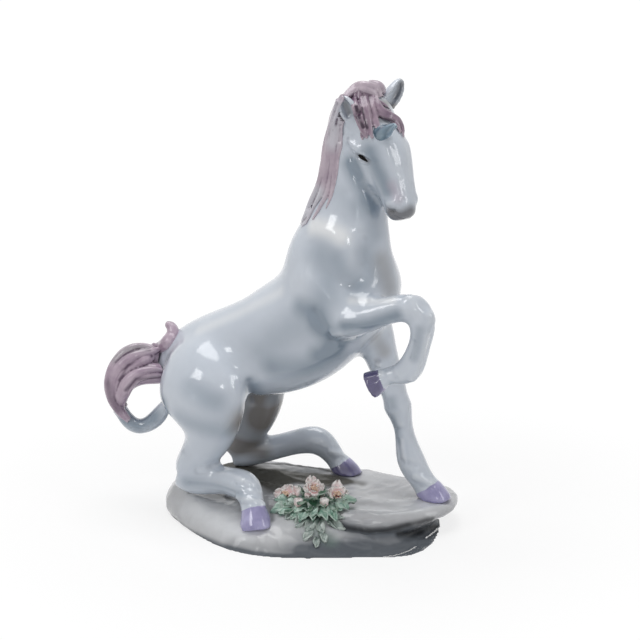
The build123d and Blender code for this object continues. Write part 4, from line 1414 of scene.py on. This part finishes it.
def clear_view(tree):
    """One for camera, glossy and transmission rays, and nothing for the rays that light the figure."""
    path = tree.nodes.new("ShaderNodeLightPath")
    held = path.outputs["Is Camera Ray"]
    for kind in ("Is Glossy Ray", "Is Transmission Ray"):
        either = tree.nodes.new("ShaderNodeMath")
        either.operation = "MAXIMUM"
        tree.links.new(held, either.inputs[0])
        tree.links.new(path.outputs[kind], either.inputs[1])
        held = either.outputs[0]
    return held


def add_floor():
    """A white floor that keeps a faint shadow."""
    reach = FLOOR_REACH
    mesh = bpy.data.meshes.new("floor")
    corners = [(-reach, -reach, 0), (reach, -reach, 0), (reach, reach, 0), (-reach, reach, 0)]
    mesh.from_pydata(corners, [], [(0, 1, 2, 3)])
    floor = bpy.data.objects.new("floor", mesh)
    bpy.context.collection.objects.link(floor)
    material = bpy.data.materials.new("floor_white")
    material.use_nodes = True
    tree = material.node_tree
    tree.nodes.clear()
    paper = tree.nodes.new("ShaderNodeBsdfDiffuse")
    paper.inputs["Color"].default_value = srgb(250, 250, 250)
    glow = tree.nodes.new("ShaderNodeEmission")
    glow.inputs["Strength"].default_value = FLOOR_LEVEL
    place = tree.nodes.new("ShaderNodeTexCoord")
    away = tree.nodes.new("ShaderNodeVectorMath")
    away.operation = "LENGTH"
    share = tree.nodes.new("ShaderNodeMapRange")
    near, far = SHADOW_REACH
    for name, number in (("From Min", near), ("From Max", far), ("To Min", FLOOR_GLOW), ("To Max", 1.0)):
        share.inputs[name].default_value = number
    seen = tree.nodes.new("ShaderNodeMath")
    seen.operation = "MULTIPLY"
    tree.links.new(place.outputs["Object"], away.inputs[0])
    tree.links.new(away.outputs["Value"], share.inputs["Value"])
    tree.links.new(share.outputs["Result"], seen.inputs[1])
    both = tree.nodes.new("ShaderNodeMixShader")
    out = tree.nodes.new("ShaderNodeOutputMaterial")
    tree.links.new(clear_view(tree), seen.inputs[0])
    tree.links.new(seen.outputs[0], both.inputs["Fac"])
    tree.links.new(paper.outputs[0], both.inputs[1])
    tree.links.new(glow.outputs[0], both.inputs[2])
    tree.links.new(both.outputs[0], out.inputs["Surface"])
    mesh.materials.append(material)


def add_stage():
    """The floor, a white surround that lights the figure softly, and the soft boxes."""
    add_floor()
    world = bpy.data.worlds.new("studio")
    bpy.context.scene.world = world
    world.use_nodes = True
    tree = world.node_tree
    backdrop = tree.nodes["Background"]
    backdrop.inputs["Color"].default_value = (1, 1, 1, 1)
    level = tree.nodes.new("ShaderNodeMapRange")
    level.inputs["To Min"].default_value = AMBIENT
    level.inputs["To Max"].default_value = 1.0
    tree.links.new(clear_view(tree), level.inputs["Value"])
    tree.links.new(level.outputs["Result"], backdrop.inputs["Strength"])
    for box in SOFT_BOXES:
        soft_box(*box)
    bpy.context.scene.view_settings.view_transform = "Standard"


add_camera()
add_stage()
skin = make_skin()
make_hair(skin)
make_eyes(skin)
make_horn()
rock = make_rock(skin)
make_flowers(rock)
